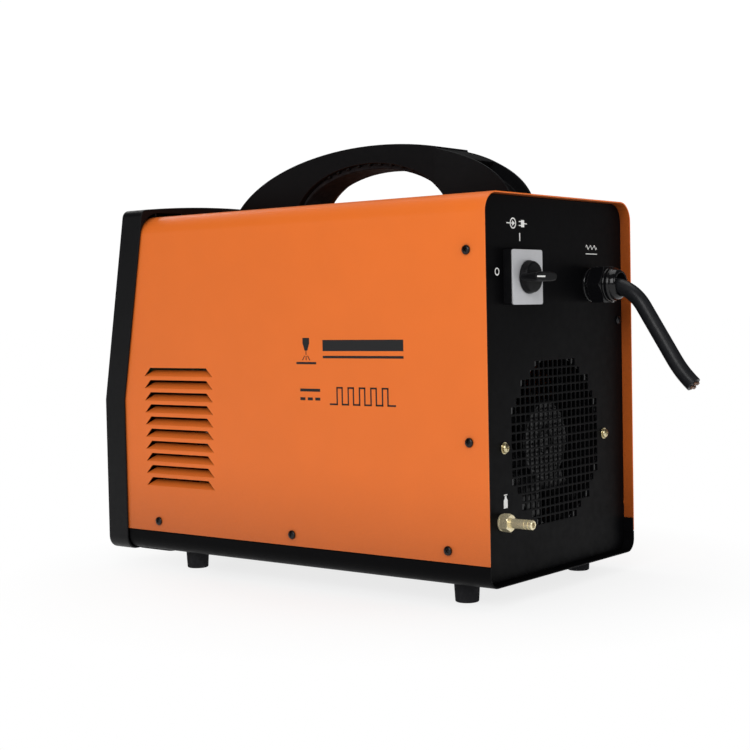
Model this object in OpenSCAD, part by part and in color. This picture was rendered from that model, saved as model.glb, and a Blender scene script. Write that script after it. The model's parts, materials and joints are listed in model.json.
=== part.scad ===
// TIG welding machine: an inverter power source with a bent sheet-metal cover,
// a moulded front bezel, a carrying handle and a recessed rear panel.
// Frame: origin at the bottom centre of the box round the whole machine, cable stub
// included, +Z up. The control panel faces -Y; the mains switch and grille face +Y.
// The positions below are measured from the middle of the cover; in_frame() moves
// each sub-part from there into the frame.

/* [Cover] */
// Width over the two side walls
cover_w = 248; // [246:1:250]
// Length of the cover's side walls
cover_len = 442; // [440:1:446]
// Height of the cover's top above the ground
cover_top = 353; // [352:1:354]
// Outside radius of the two long bends
cover_r = 18; // [14:1:20]
// Thickness of the cover sheet
cover_t = 1.2; // [1:0.1:1.5]
// Number of louvres in each side wall
louvre_count = 10; // [4:1:10]
// Height from one louvre to the next
louvre_pitch = 12.2; // [12:0.1:13]
// Length of a louvre's upper edge
louvre_len = 78.5; // [60:0.5:84]
// Angle by which a louvre is pressed inwards
louvre_deg = 40; // [30:1:44]

/* [Base] */
// Height of the rubber feet
foot_h = 18; // [16:1:20]
// Radius of a foot at the ground
foot_r = 10.5; // [9:0.5:12]
// Height of the base pan's visible side band
pan_band = 20; // [18:1:20]
// Radius of the pan's lower edges
pan_r = 12; // [8:1:12]
// Thickness of the pan sheet
pan_t = 1.5; // [1.2:0.1:2]

/* [Front] */
// Depth of the bezel's side band
bezel_depth = 28; // [26:1:30]
// Height at which the front starts to lean back
kink_z = 169; // [165:1:172]
// Lean of the upper front panel
slope_deg = 10; // [8:0.5:11]
// Travel of the panel's push buttons
button_travel = 0.8; // [0.4:0.1:1]
// Radius of a push button
button_r = 5.5; // [4:0.25:6]
// Radius of the current knob
dial_r = 15; // [12:0.5:17]
// Radius of the bore in an output socket
socket_bore_r = 6.55; // [6.5:0.01:6.6]

/* [Handle] */
// Width of the handle
handle_w = 52; // [44:1:56]
// Half length of the handle's outer arch
arch_a = 189; // [180:1:190]
// Rise of the handle's outer arch above its centre line
arch_b = 82; // [78:1:84]
// Half length of the finger opening
grip_a = 94; // [86:1:96]

/* [Rear panel] */
// Distance from the cover's rear edge to the rear panel's face
recess = 10; // [8:1:12]
// Number of grille holes across
grille_n = 19; // [15:2:19]
// Spacing of the grille holes
grille_pitch = 7.75; // [7.5:0.05:7.75]
// Side of a square grille hole
grille_hole = 6; // [5:0.1:6.2]
// Side of the mains switch's square plate
switch_side = 48; // [44:1:50]
// Across-flats size of the cable gland's hexagons
gland_af = 33; // [30:1:34]
// Radius of the mains cable
cable_r = 7.25; // [6.5:0.05:7.25]
// Radius of the gas inlet tube
inlet_r = 4.2; // [4:0.1:4.5]
// Number of fan blades
blade_count = 7; // [5:1:9]

/* [Hidden] */

seat_gap = 0.1;      // gap between parts that rest on each other
touch_gap = 0.05;    // gap between parts that are screwed up tight
film_gap = 0.02;     // gap between parts that are stuck or pressed together
shaft_gap = 0.05;    // radial clearance of a turning shaft
hole_play = 0.2;     // play of a part in a sheet-metal hole
over = 1;            // how far a cutting shape reaches past what it cuts
half_w = cover_w / 2;
back_y = cover_len / 2;
pan_z = foot_h;
floor_z = pan_z + pan_t;
skirt_z = pan_z + pan_band;
bezel_front = -(back_y + 30);
bezel_proud = 2;
panel_t = 1.5;
panel_y = back_y - recess;
panel_in = panel_y - panel_t;
small_fn = 24;       // facets of a small round
plain_fn = 32;
round_fn = 48;
fine_fn = 64;
wide_fn = 96;        // facets of the widest rounds

orange = "darkorange";
satin_black = "dimgray";
brass = "goldenrod";
copper = "peru";

// ---------- shared shapes ----------

// The y of the front line at height z: upright below the kink, leaning back above it.
function front_y(z) = bezel_front + max(0, z - kink_z) * tan(slope_deg);

// Turns a drawing in the XZ plane into a plate from y0 to y1.
module xz_plate(y0, y1) {
    translate([0, y1, 0]) rotate([90, 0, 0]) linear_extrude(y1 - y0) children();
}

// Turns a drawing in the YZ plane into a plate from x0 to x1.
module yz_plate(x0, x1) {
    translate([x0, 0, 0]) rotate([90, 0, 90]) linear_extrude(x1 - x0) children();
}

// A cylinder along Y from y0 to y1 about the axis at (x, z).
module rod_y(x, z, r, y0, y1, fn = round_fn) {
    translate([x, y1, z]) rotate([90, 0, 0]) cylinder(h = y1 - y0, r = r, $fn = fn);
}

// A box given by its lowest and highest corners.
module box(lo, hi) {
    translate(lo) cube(hi - lo);
}

// Moves a sub-part from the middle of the cover into the part's frame.
module in_frame() {
    translate([0, -middle_y, 0]) children();
}

module both_sides() {
    children();
    mirror([1, 0, 0]) children();
}

// A plate with rounded upper corners, from z0 to z1.
module rounded_top(w, z0, z1, r) {
    translate([-w / 2, z0]) square([w, z1 - r - z0]);
    translate([-w / 2 + r, z0]) square([w - 2 * r, z1 - z0]);
    for (s = [-1, 1]) translate([s * (w / 2 - r), z1 - r]) circle(r, $fn = round_fn);
}

// The same with its rounded corners below.
module rounded_bottom(w, z0, z1, r) {
    mirror([0, 1]) rounded_top(w, -z1, -z0, r);
}

// The side view behind the front line, from depth d0 to depth d1.
module front_strip(d0, d1, z0, z1) {
    polygon([
        [front_y(z0) + d0, z0], [bezel_front + d0, kink_z], [front_y(z1) + d0, z1],
        [front_y(z1) + d1, z1], [bezel_front + d1, kink_z], [front_y(z0) + d1, z0]
    ]);
}

slope_mid = 262;      // height of the leaning front's middle

// Places children on the leaning front: x across, y up the slope, z outwards,
// with z = 0 on the front line.
module on_slope() {
    translate([0, front_y(slope_mid), slope_mid]) rotate([90 - slope_deg, 0, 0]) children();
}

// A pan-head cross-recess screw along Z: head above z = 0, shank below.
module pan_screw(head_r, head_h, shank_r, shank_l) {
    slot_l = head_r * 1.1;
    slot_w = head_r * 0.24;
    slot_z = head_h * 0.45;
    rim_h = head_h * 0.6;
    crown_r = head_r * 0.7;
    difference() {
        union() {
            cylinder(h = rim_h, r = head_r, $fn = plain_fn);
            translate([0, 0, rim_h])
                cylinder(h = head_h - rim_h, r1 = head_r, r2 = crown_r, $fn = plain_fn);
            translate([0, 0, -shank_l])
                cylinder(h = shank_l + seat_gap, r = shank_r, $fn = small_fn);
        }
        for (a = [0, 90])
            rotate([0, 0, a])
                translate([-slot_l / 2, -slot_w / 2, slot_z])
                    cube([slot_l, slot_w, head_h]);
    }
}

// A hexagonal prism along Z, af across its flats.
module hex(af, h) {
    cylinder(h = h, r = af / sqrt(3), $fn = 6);
}

// The cross-section of a hose.
module hose_ring(ro, ri) {
    difference() {
        circle(ro, $fn = plain_fn);
        circle(ri, $fn = plain_fn);
    }
}

// ---------- positions shared by several parts ----------

skirt_screw_z = skirt_z + 10.5;
skirt_screw_ys = [-178, 0, 178];
flange_screw_y = 202;
flange_screw_zs = [142, 304];
edge_screw_x = 115;
edge_screw_z = 241;
foot_x = 94;
foot_ys = [-155, 176];
handle_screw_ys = [-130, -85, 120, 148];
fan_z = 134.5;
fan_ear_x = 85;
switch_x = 58.5;
switch_z = 281;
gland_x = -64;
gland_z = 274.5;
gas_x = 90;
gas_z = 71;
m3_hole_r = 1.7;
m4_hole_r = 2.15;
m5_hole_r = 2.6;

// Places children at the four feet, at ground level.
module foot_places() {
    for (x = [-foot_x, foot_x], y = foot_ys)
        translate([x, y, 0]) children();
}

// A screw hole through both side walls.
module cross_hole(y, z) {
    translate([-cover_w, y, z])
        rotate([0, 90, 0])
            cylinder(h = 2 * cover_w, r = m4_hole_r, $fn = small_fn);
}

// ---------- housing ----------

pan_flange_top = 64;
pan_notch_z = 50;                 // height of the pan's flanges behind the rear panel
pan_inset = cover_t + seat_gap;
shelf_z = skirt_z - 0.4;          // where the pan's walls step inwards, under the cover's edge

// The base pan's cross-section: a tray whose walls step inwards and run up behind the cover.
module pan_section() {
    flange_x = half_w - pan_inset - pan_t;
    difference() {
        rounded_bottom(cover_w, pan_z, 2 * skirt_z, pan_r);
        rounded_bottom(cover_w - 2 * pan_t, floor_z, 3 * skirt_z, pan_r - pan_t);
        translate([-cover_w, shelf_z]) square([2 * cover_w, cover_w]);
    }
    for (s = [0, 1]) mirror([s, 0]) translate([flange_x, shelf_z - pan_t]) {
        square([pan_t, pan_flange_top - shelf_z + pan_t]);
        square([pan_inset + pan_t, pan_t]);
    }
}

module base_pan() {
    pan_front = -back_y - 1;
    color(satin_black) in_frame() difference() {
        xz_plate(pan_front, back_y) pan_section();
        foot_places()
            translate([0, 0, pan_z - over])
                cylinder(h = pan_t + 2 * over, r = m5_hole_r, $fn = small_fn);
        for (y = skirt_screw_ys) cross_hole(y, skirt_screw_z);
        box([-cover_w, panel_y, pan_notch_z], [cover_w, back_y + over, cover_top]);
    }
}

louvre_h = 8.3;
louvre_y = -146.6;
louvre_top = 202;
louvre_splay = 8.2;    // how much longer each end is at the hinge
louvre_slit = 1.8;     // lanced gap at a flap's ends
flap_h = louvre_h - 0.3;

// A louvre's outline above its hinge line, narrowed by slit at both ends.
module louvre_outline(slit, h) {
    low = louvre_len / 2 + louvre_splay - slit;
    high = low - louvre_splay * h / louvre_h;
    polygon([[-low, 0], [low, 0], [high, h], [-high, h]]);
}

// Places children at each louvre's hinge line, in both side walls.
module louvre_places() {
    both_sides() for (i = [0:louvre_count - 1])
        translate([half_w, louvre_y, louvre_top - louvre_h - i * louvre_pitch]) children();
}

cover_lap = 9;   // how far the cover reaches forwards inside the bezel

module cover() {
    lap = bezel_depth - cover_lap;
    color(orange) in_frame() {
        difference() {
            intersection() {
                xz_plate(bezel_front, back_y) difference() {
                    rounded_top(cover_w, skirt_z, cover_top, cover_r);
                    rounded_top(cover_w - 2 * cover_t, 0, cover_top - cover_t, cover_r - cover_t);
                }
                yz_plate(-cover_w, cover_w) polygon([
                    [front_y(0) + lap, 0],
                    [bezel_front + lap, kink_z],
                    [front_y(cover_top) + lap, cover_top],
                    [back_y, cover_top],
                    [back_y, 0]
                ]);
            }
            louvre_places()
                yz_plate(-cover_t - over, over) louvre_outline(0, louvre_h);
            for (y = skirt_screw_ys) cross_hole(y, skirt_screw_z);
            for (z = flange_screw_zs) cross_hole(flange_screw_y, z);
            for (y = handle_screw_ys)
                translate([0, y, cover_top - cover_t - over])
                    cylinder(h = cover_t + 2 * over, r = m5_hole_r, $fn = small_fn);
        }
        louvre_places()
            rotate([0, -louvre_deg, 0])
                yz_plate(-cover_t, 0) louvre_outline(louvre_slit, flap_h);
    }
}

flange_len = 14;
flange_low = 68;
flange_high = 328;
flange_root = 0.5;     // how far a flange reaches into the panel's sheet
panel_play = 0.4;      // gap between the panel's edge and the cover
pan_play = 0.3;        // gap between the panel's edge and the base pan
panel_step = pan_flange_top + 2;   // height at which the panel widens above the pan

// Square holes on a grid, kept where they fall inside a circle.
module grille_holes() {
    mask_r = (grille_n / 2 + 0.4) * grille_pitch;
    mid = (grille_n - 1) / 2;
    for (i = [-mid:mid], j = [-mid:mid])
        if (norm([i, j]) * grille_pitch < mask_r)
            translate([i * grille_pitch, fan_z + j * grille_pitch])
                square(grille_hole, center = true);
}

module rear_panel() {
    upper_w = cover_w - 2 * (cover_t + panel_play);
    lower_w = cover_w - 2 * (pan_inset + pan_t + pan_play);
    top_r = cover_r - cover_t - panel_play;
    color(satin_black) in_frame() difference() {
        union() {
            xz_plate(panel_in, panel_y) difference() {
                union() {
                    rounded_top(upper_w, panel_step, cover_top - cover_t - panel_play, top_r);
                    rounded_bottom(lower_w, floor_z + seat_gap, panel_step + over, pan_r - pan_t);
                }
                grille_holes();
                for (s = [-1, 1]) {
                    translate([s * edge_screw_x, edge_screw_z]) circle(m4_hole_r, $fn = small_fn);
                    translate([s * fan_ear_x, fan_z]) circle(m4_hole_r, $fn = small_fn);
                }
                translate([switch_x, switch_z]) circle(switch_neck_r + seat_gap, $fn = round_fn);
                translate([gland_x, gland_z]) circle(gland_tube_r + hole_play, $fn = round_fn);
                translate([gas_x, gas_z]) circle(inlet_thread_r + seat_gap, $fn = round_fn);
            }
            both_sides()
                box([upper_w / 2 - panel_t, panel_in - flange_len, flange_low],
                    [upper_w / 2, panel_in + flange_root, flange_high]);
        }
        for (z = flange_screw_zs) cross_hole(flange_screw_y, z);
    }
}

bezel_bottom = 16;
brow_top = 366.2;
brow_crown = 5.8;
brow_flat = 3;        // flat run between the crown's end and the corner arc
brow_wall = 3;
bezel_r = 7;
bezel_inner_r = 22;
bezel_play = 0.2;     // gap between the bezel's band and the cover inside it
web_d0 = 5;           // depth of the web's outer face behind the front line
web_d1 = 8;           // depth of its inner face
tongue_y = -176;
tongue_half = half_w - pan_r - 2;
rib_pitch = 35;
rib_t = 1.6;
slope_window = [206, 150];
socket_window = [214, 122];
socket_mid_z = 97;
window_cut = 40;

// The bezel's front view: rounded corners and a slightly crowned top.
module bezel_outline() {
    w = half_w + bezel_proud;
    shoulder = brow_top - brow_crown;
    crown_half = w - bezel_r - brow_flat;
    crown_r = (crown_half * crown_half + brow_crown * brow_crown) / (2 * brow_crown);
    rounded_top(2 * w, bezel_bottom + pan_r, shoulder, bezel_r);
    rounded_bottom(2 * w, bezel_bottom, bezel_bottom + 2 * pan_r + over, pan_r);
    intersection() {
        translate([0, brow_top - crown_r]) circle(crown_r, $fn = 720);
        translate([bezel_r - w, kink_z]) square([2 * (w - bezel_r), brow_top]);
    }
}

// The space inside the bezel's band and brow, seen from the front.
module bezel_inside() {
    inner_w = cover_w + 2 * bezel_play;
    rounded_top(inner_w, pan_z + pan_r, brow_top - brow_crown - brow_wall, bezel_inner_r);
    rounded_bottom(inner_w, pan_z - seat_gap, kink_z, pan_r);
}

// The web that carries the panels, and the ribs between the brow and the cover.
module web_and_ribs() {
    yz_plate(-cover_w, cover_w) front_strip(web_d0, web_d1, 0, brow_top + over);
    for (i = [-3:3])
        translate([i * rib_pitch - rib_t / 2, 0, 0])
            box([0, bezel_front, cover_top + seat_gap], [rib_t, 0, brow_top]);
}

module front_bezel() {
    color(satin_black) in_frame() difference() {
        union() {
            intersection() {
                xz_plate(bezel_front - over, 0) bezel_outline();
                difference() {
                    yz_plate(-cover_w, cover_w)
                        front_strip(0, bezel_depth, bezel_bottom, brow_top + over);
                    difference() {
                        xz_plate(bezel_front - over, 0) bezel_inside();
                        web_and_ribs();
                    }
                }
            }
            box([-tongue_half, bezel_front + bezel_depth - over, bezel_bottom],
                [tongue_half, tongue_y, pan_z - seat_gap]);
        }
        on_slope()
            cube([slope_window[0], slope_window[1], window_cut], center = true);
        translate([0, bezel_front, socket_mid_z])
            cube([socket_window[0], window_cut, socket_window[1]], center = true);
        front_screw_places()
            translate([0, 0, -window_cut / 2])
                cylinder(h = window_cut, r = m3_hole_r, $fn = small_fn);
    }
}

arch_y = 25;
arch_z = 331;
grip_y = 19;
grip_z = 342;
grip_b = 54;
grip_pad = 5;         // how far the pad hangs below the grip
grip_pad_half = 19;
tail_y = 102;         // where the lower, narrower rear end starts
tail_a = 155.6;       // half axes and centre height of the rear end's ellipse
tail_b = 68;
tail_z = 345;
tail_half = 18.5;
taper_y0 = 100;       // the handle narrows between these two places
taper_y1 = 142;
pocket_y0 = 134;
pocket_y1 = 172;
pocket_wall = 3.2;
pocket_depth = 13;
pocket_sky = 9;       // how far the pocket's cut reaches above the rear end
grip_rib_pitch = 13.5;
grip_rib_r = 2;
grip_rib_inset = 3;
handle_bore = 17;     // depth of the screw holes from below

// Points round an ellipse in the side view.
function ellipse(cy, cz, a, b) = [for (t = [0:3:359]) [cy + a * cos(t), cz + b * sin(t)]];

// The handle's outer line in the side view: a long arch with a lower rear end.
module arch_outline() {
    intersection() {
        polygon(ellipse(arch_y, arch_z, arch_a, arch_b));
        translate([tail_y - 2 * cover_w, 0]) square([2 * cover_w, 2 * cover_w]);
    }
    intersection() {
        polygon(ellipse(arch_y, tail_z, tail_a, tail_b));
        translate([tail_y - over, 0]) square([cover_w, 2 * cover_w]);
    }
}

// The handle's outline in the plan view: full width, then narrower towards the rear.
module handle_plan() {
    half = handle_w / 2;
    linear_extrude(2 * cover_w) polygon([
        [-half, -cover_w],
        [half, -cover_w],
        [half, taper_y0],
        [tail_half, taper_y1],
        [tail_half, cover_w],
        [-tail_half, cover_w],
        [-tail_half, taper_y1],
        [-half, taper_y0]
    ]);
}

module handle() {
    foot_z = cover_top + touch_gap;
    half = handle_w / 2;
    color(satin_black) in_frame() difference() {
        union() {
            intersection() {
                yz_plate(-half, half) intersection() {
                    difference() {
                        arch_outline();
                        polygon(ellipse(grip_y, grip_z, grip_a, grip_b));
                    }
                    translate([-cover_w, foot_z]) square([2 * cover_w, cover_w]);
                }
                handle_plan();
            }
            // Pad under the grip.
            yz_plate(-grip_pad_half, grip_pad_half) intersection() {
                difference() {
                    polygon(ellipse(grip_y, grip_z, grip_a + grip_pad, grip_b + grip_pad));
                    polygon(ellipse(grip_y, grip_z, grip_a, grip_b - grip_pad));
                }
                translate([-cover_w, foot_z]) square([2 * cover_w, cover_w]);
            }
            // Finger ribs under the grip.
            yz_plate(-half + grip_rib_inset, half - grip_rib_inset) for (i = [-4:4]) {
                t = 90 - i * grip_rib_pitch / grip_a * 180 / PI;
                translate([grip_y + grip_a * cos(t), grip_z + grip_b * sin(t)])
                    circle(grip_rib_r, $fn = small_fn);
            }
        }
        // Open pocket in the rear slope.
        yz_plate(pocket_wall - tail_half, tail_half - pocket_wall) intersection() {
            difference() {
                polygon(ellipse(arch_y, tail_z, tail_a + pocket_sky, tail_b + pocket_sky));
                polygon(ellipse(arch_y, tail_z, tail_a - pocket_depth, tail_b - pocket_depth));
            }
            translate([pocket_y0, cover_top]) square([pocket_y1 - pocket_y0, cover_w]);
        }
        for (y = handle_screw_ys)
            translate([0, y, foot_z - over])
                cylinder(h = handle_bore, r = m5_hole_r, $fn = small_fn);
    }
}

m4_head_r = 4;
m4_head_h = 2.4;
m4_shank_r = 1.95;
m4_shank_l = 8;

module m4_screw() {
    pan_screw(m4_head_r, m4_head_h, m4_shank_r, m4_shank_l);
}

module case_screws() {
    color("black") in_frame() both_sides() {
        for (y = skirt_screw_ys)
            translate([half_w, y, skirt_screw_z]) rotate([0, 90, 0]) m4_screw();
        for (z = flange_screw_zs)
            translate([half_w, flange_screw_y, z]) rotate([0, 90, 0]) m4_screw();
        translate([edge_screw_x, panel_y, edge_screw_z]) rotate([-90, 0, 0]) m4_screw();
    }
}

m5_head_r = 4.6;
m5_head_h = 3.4;
m5_shank_r = 2.4;
m5_shank_l = 14;

module m5_screw() {
    pan_screw(m5_head_r, m5_head_h, m5_shank_r, m5_shank_l);
}

module frame_screws() {
    color("silver") in_frame() {
        for (y = handle_screw_ys)
            translate([0, y, cover_top - cover_t]) rotate([180, 0, 0]) m5_screw();
        foot_places() translate([0, 0, floor_z]) m5_screw();
    }
}

foot_flare = 1;       // how much wider a foot is at the top, and its chamfer at the ground
foot_bore_z = 5;

module feet() {
    color("black") in_frame() foot_places() difference() {
        union() {
            cylinder(h = foot_flare, r1 = foot_r - foot_flare, r2 = foot_r, $fn = round_fn);
            translate([0, 0, foot_flare])
                cylinder(h = foot_h - foot_flare, r1 = foot_r, r2 = foot_r + foot_flare, $fn = round_fn);
        }
        translate([0, 0, foot_bore_z]) cylinder(h = foot_h, r = m5_hole_r, $fn = small_fn);
    }
}

// ---------- front panel ----------

web_back = web_d1 * cos(slope_deg);   // depth of the web's inner face, square to the slope
plate_z = -(web_back + touch_gap);    // outer face of the control panel plate
plate_t = 2;
plate_size = [222, 166];
overlay_t = 0.8;
overlay_edge = 1;                     // how much smaller the overlay is than its window
opening_play = 0.2;
board_z = plate_z - 12;               // outer face of the control board
board_t = 1.6;
board_size = [206, 140];
display_at = [0, 44];
display_size = [64, 26];
button_ys = -42;
button_xs = [-82, -58, -34, -10, 14];
button_stem_r = 2;
dial_at = [62, -38];
dial_bush_r = 3.5;
dial_shaft_r = 2;
led_r = 1.5;
led_flange = 0.8;
led_body_h = 6;
led_proud = 0.1;
led_pitch = 9;
led_cols = [-86, -58, 58, 86];
led_row = 8;
led_row_pitch = 19;
screw_slope = [107, 79];
screw_socket = [110.5, 64];
stand_at = [98, 64];
stand_r = 3;

// LED positions: four columns of three beside the display and a row of nine under it.
function led_places() = concat(
    [for (x = led_cols, j = [-1:1]) [x, display_at[1] + j * led_pitch]],
    [for (i = [-4:4]) [i * led_row_pitch, led_row]]
);

// Places children at each front screw, z outwards from the web's face.
module front_screw_places() {
    for (sx = [-1, 1], sy = [-1, 1]) {
        on_slope()
            translate([sx * screw_slope[0], sy * screw_slope[1], -web_d0 * cos(slope_deg)])
                children();
        translate([sx * screw_socket[0], bezel_front + web_d0, socket_mid_z + sy * screw_socket[1]])
            rotate([90, 0, 0])
                children();
    }
}

m3_head_r = 2.8;
m3_head_h = 1.8;
m3_shank_r = 1.45;
m3_shank_l = 8;

module front_panel_screws() {
    color("black") in_frame() front_screw_places()
        pan_screw(m3_head_r, m3_head_h, m3_shank_r, m3_shank_l);
}

// Openings shared by the panel plate and its overlay.
module panel_openings() {
    translate(display_at) square(display_size + opening_play * [1, 1], center = true);
    for (p = led_places()) translate(p) circle(led_r + shaft_gap, $fn = small_fn);
    for (x = button_xs) translate([x, button_ys]) circle(button_r + seat_gap, $fn = round_fn);
    translate(dial_at) circle(dial_bush_r + seat_gap, $fn = plain_fn);
}

module control_panel() {
    stand_h = plate_z - plate_t / 2 - board_z - seat_gap;
    color(satin_black) in_frame() on_slope() difference() {
        union() {
            translate([0, 0, plate_z - plate_t]) linear_extrude(plate_t) difference() {
                square(plate_size, center = true);
                panel_openings();
            }
            for (sx = [-1, 1], sy = [-1, 1])
                translate([sx * stand_at[0], sy * stand_at[1], board_z + seat_gap])
                    cylinder(h = stand_h, r = stand_r, $fn = plain_fn);
        }
        for (sx = [-1, 1], sy = [-1, 1])
            translate([sx * screw_slope[0], sy * screw_slope[1], plate_z - window_cut / 2])
                cylinder(h = window_cut, r = m3_hole_r, $fn = small_fn);
    }
}

module panel_overlay() {
    color("slategray") in_frame() on_slope()
        translate([0, 0, plate_z + film_gap])
            linear_extrude(overlay_t) difference() {
                square(slope_window - overlay_edge * [1, 1], center = true);
                panel_openings();
            }
}

module display_window() {
    rebate = 0.2;        // how far the window stays short of both faces
    color("darkred", 0.6) in_frame() on_slope()
        translate([display_at[0], display_at[1], plate_z - plate_t + rebate])
            linear_extrude(plate_t + overlay_t - 2 * rebate)
                square(display_size, center = true);
}

digit_pitch = 18;
digit_w = 10;
digit_h = 16;
segment_t = 1.6;
segment_h = 0.6;
module_h = 8;
module_edge = 4;

// The seven segments of one display digit.
module digit() {
    for (j = [-1:1])
        translate([0, j * digit_h / 2]) square([digit_w - 2, segment_t], center = true);
    for (k = [-1, 1], j = [-1, 1])
        translate([k * digit_w / 2, j * digit_h / 4]) square([segment_t, digit_h / 2 - 2], center = true);
}

module display_module() {
    color("black") in_frame() on_slope()
        translate([display_at[0], display_at[1], board_z + seat_gap]) {
            linear_extrude(module_h) square(display_size - module_edge * [1, 1], center = true);
            for (i = [-1:1])
                translate([i * digit_pitch, 0, module_h]) linear_extrude(segment_h) digit();
        }
}

module indicator_leds() {
    lens_h = plate_z + overlay_t + led_proud - board_z;
    color("lime") in_frame() on_slope() for (p = led_places())
        translate([p[0], p[1], board_z + seat_gap]) {
            cylinder(h = led_body_h, r = led_r + led_flange, $fn = small_fn);
            cylinder(h = lens_h, r = led_r, $fn = small_fn);
        }
}

key_side = 6;            // a push-button switch on the control board
key_h = 4;
key_stem_h = 5;
key_stem_r = 1.7;
chip_size = [18, 12, 2.5];
chip_pitch = 36;
chip_y = 6;

module control_board() {
    color("darkgreen") in_frame() on_slope() translate([0, 0, board_z - board_t]) {
        linear_extrude(board_t) square(board_size, center = true);
        for (x = button_xs) {
            translate([x - key_side / 2, button_ys - key_side / 2, board_t])
                cube([key_side, key_side, key_h]);
            translate([x, button_ys, board_t])
                cylinder(h = key_stem_h, r = key_stem_r, $fn = small_fn);
        }
        for (i = [-2:2])
            translate([i * chip_pitch - chip_size[0] / 2, chip_y, seat_gap - chip_size[2]])
                cube(chip_size);
    }
}

encoder_side = 14;
encoder_h = 6;
encoder_bush_h = 11.5;
encoder_floor = 1;

module encoder_body() {
    color("silver") in_frame() on_slope()
        translate([dial_at[0], dial_at[1], board_z + seat_gap]) difference() {
            union() {
                translate([-encoder_side / 2, -encoder_side / 2, 0])
                    cube([encoder_side, encoder_side, encoder_h]);
                cylinder(h = encoder_bush_h, r = dial_bush_r, $fn = plain_fn);
            }
            translate([0, 0, encoder_floor])
                cylinder(h = encoder_bush_h, r = dial_shaft_r + shaft_gap, $fn = plain_fn);
        }
}

knob_h = 13;
knob_rim_h = 2.5;        // the wider rim at the knob's foot
knob_lift = 0.5;         // gap between the knob and the overlay
flute_n = 18;
flute_r = 0.9;

module encoder_knob() {
    base = plate_z + overlay_t + knob_lift;
    shaft_z = board_z + seat_gap + encoder_floor + 0.9;
    color("black") in_frame() on_slope() translate([dial_at[0], dial_at[1], 0]) {
        difference() {
            union() {
                translate([0, 0, base]) cylinder(h = knob_rim_h, r = dial_r, $fn = fine_fn);
                translate([0, 0, base + knob_rim_h - seat_gap])
                    cylinder(h = knob_h - knob_rim_h + seat_gap, r1 = dial_r - 1.5, r2 = dial_r - 2.5,
                             $fn = fine_fn);
            }
            for (i = [0:flute_n - 1])
                rotate([0, 0, i * 360 / flute_n])
                    translate([dial_r - 1.1, 0, base + knob_rim_h + 0.5])
                        cylinder(h = knob_h, r = flute_r, $fn = 16);
            // Pointer groove.
            translate([-0.6, 4, base + knob_h - 0.6]) cube([1.2, dial_r, 2]);
        }
        translate([0, 0, shaft_z])
            cylinder(h = base - shaft_z + over, r = dial_shaft_r, $fn = plain_fn);
    }
}

// A cap in the panel, with a collar behind the plate and a stem onto its switch.
module push_button(x) {
    cap_proud = 1.6;
    cap_h = overlay_t + plate_t + cap_proud;
    collar_z = -1.05;
    stem_z = -3.9;
    color("lightgray") in_frame() on_slope() translate([x, button_ys, plate_z - plate_t]) {
        cylinder(h = cap_h, r = button_r, $fn = round_fn);
        translate([0, 0, collar_z]) cylinder(h = 1, r = button_r + 1.2, $fn = round_fn);
        translate([0, 0, collar_z]) cylinder(h = 2, r = button_r, $fn = round_fn);
        translate([0, 0, stem_z]) cylinder(h = 4, r = button_stem_r, $fn = small_fn);
    }
}

module button_process() { push_button(button_xs[0]); }
module button_trigger() { push_button(button_xs[1]); }
module button_pulse() { push_button(button_xs[2]); }
module button_gas_test() { push_button(button_xs[3]); }
module button_select() { push_button(button_xs[4]); }

socket_y = bezel_front + web_d1 + touch_gap;   // outer face of the socket panel
socket_t = 3;
socket_plate = [228, 136];
socket_x = 72;
socket_z = 78;
connector_z = 120;
shell_r = 17;
shell_flange_r = 21;
shell_neck_r = 14;
shell_back = socket_y + 26;
insert_r = 10;
insert_depth = 34;       // depth of an output socket's bore
insert_stud_r = 5;
insert_stud_l = 24;
keyway_half = 1.3;
keyway_l = 12;
socket_front = bezel_front - 9;
nipple_front = bezel_front - 11;

module socket_panel() {
    color(satin_black) in_frame() xz_plate(socket_y, socket_y + socket_t) difference() {
        translate([0, socket_mid_z]) square(socket_plate, center = true);
        for (s = [-1, 1])
            translate([s * socket_x, socket_z]) circle(shell_neck_r + seat_gap, $fn = round_fn);
        translate([0, gas_z]) circle(outlet_thread_r + seat_gap, $fn = plain_fn);
        translate([0, connector_z]) circle(connector_r + seat_gap, $fn = round_fn);
        for (sx = [-1, 1], sy = [-1, 1])
            translate([sx * screw_socket[0], socket_mid_z + sy * screw_socket[1]])
                circle(m3_hole_r, $fn = small_fn);
    }
}

module output_socket_shells() {
    color("darkslategray") in_frame() both_sides() difference() {
        union() {
            rod_y(socket_x, socket_z, shell_flange_r, socket_y - 3, socket_y - touch_gap);
            rod_y(socket_x, socket_z, shell_r, socket_front, socket_y - 1);
            rod_y(socket_x, socket_z, shell_neck_r, socket_y - 1, shell_back);
        }
        rod_y(socket_x, socket_z, insert_r + shaft_gap, socket_front - over, shell_back + over);
    }
}

module output_socket_inserts() {
    front = socket_front + 1.5;
    back = front + insert_depth;
    color(brass) in_frame() both_sides() difference() {
        union() {
            rod_y(socket_x, socket_z, insert_r, front, back + 8);
            rod_y(socket_x, socket_z, insert_stud_r, back, back + insert_stud_l);
        }
        rod_y(socket_x, socket_z, socket_bore_r, front - over, back);
        box([socket_x - keyway_half, front - over, socket_z],
            [socket_x + keyway_half, front + keyway_l, socket_z + socket_bore_r + 1.6]);
    }
}

outlet_r = 4.8;
outlet_thread_r = 5;
outlet_tail_r = 4;
outlet_bore_r = 2;
outlet_hex = 15;
outlet_back = socket_y + 26;

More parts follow.
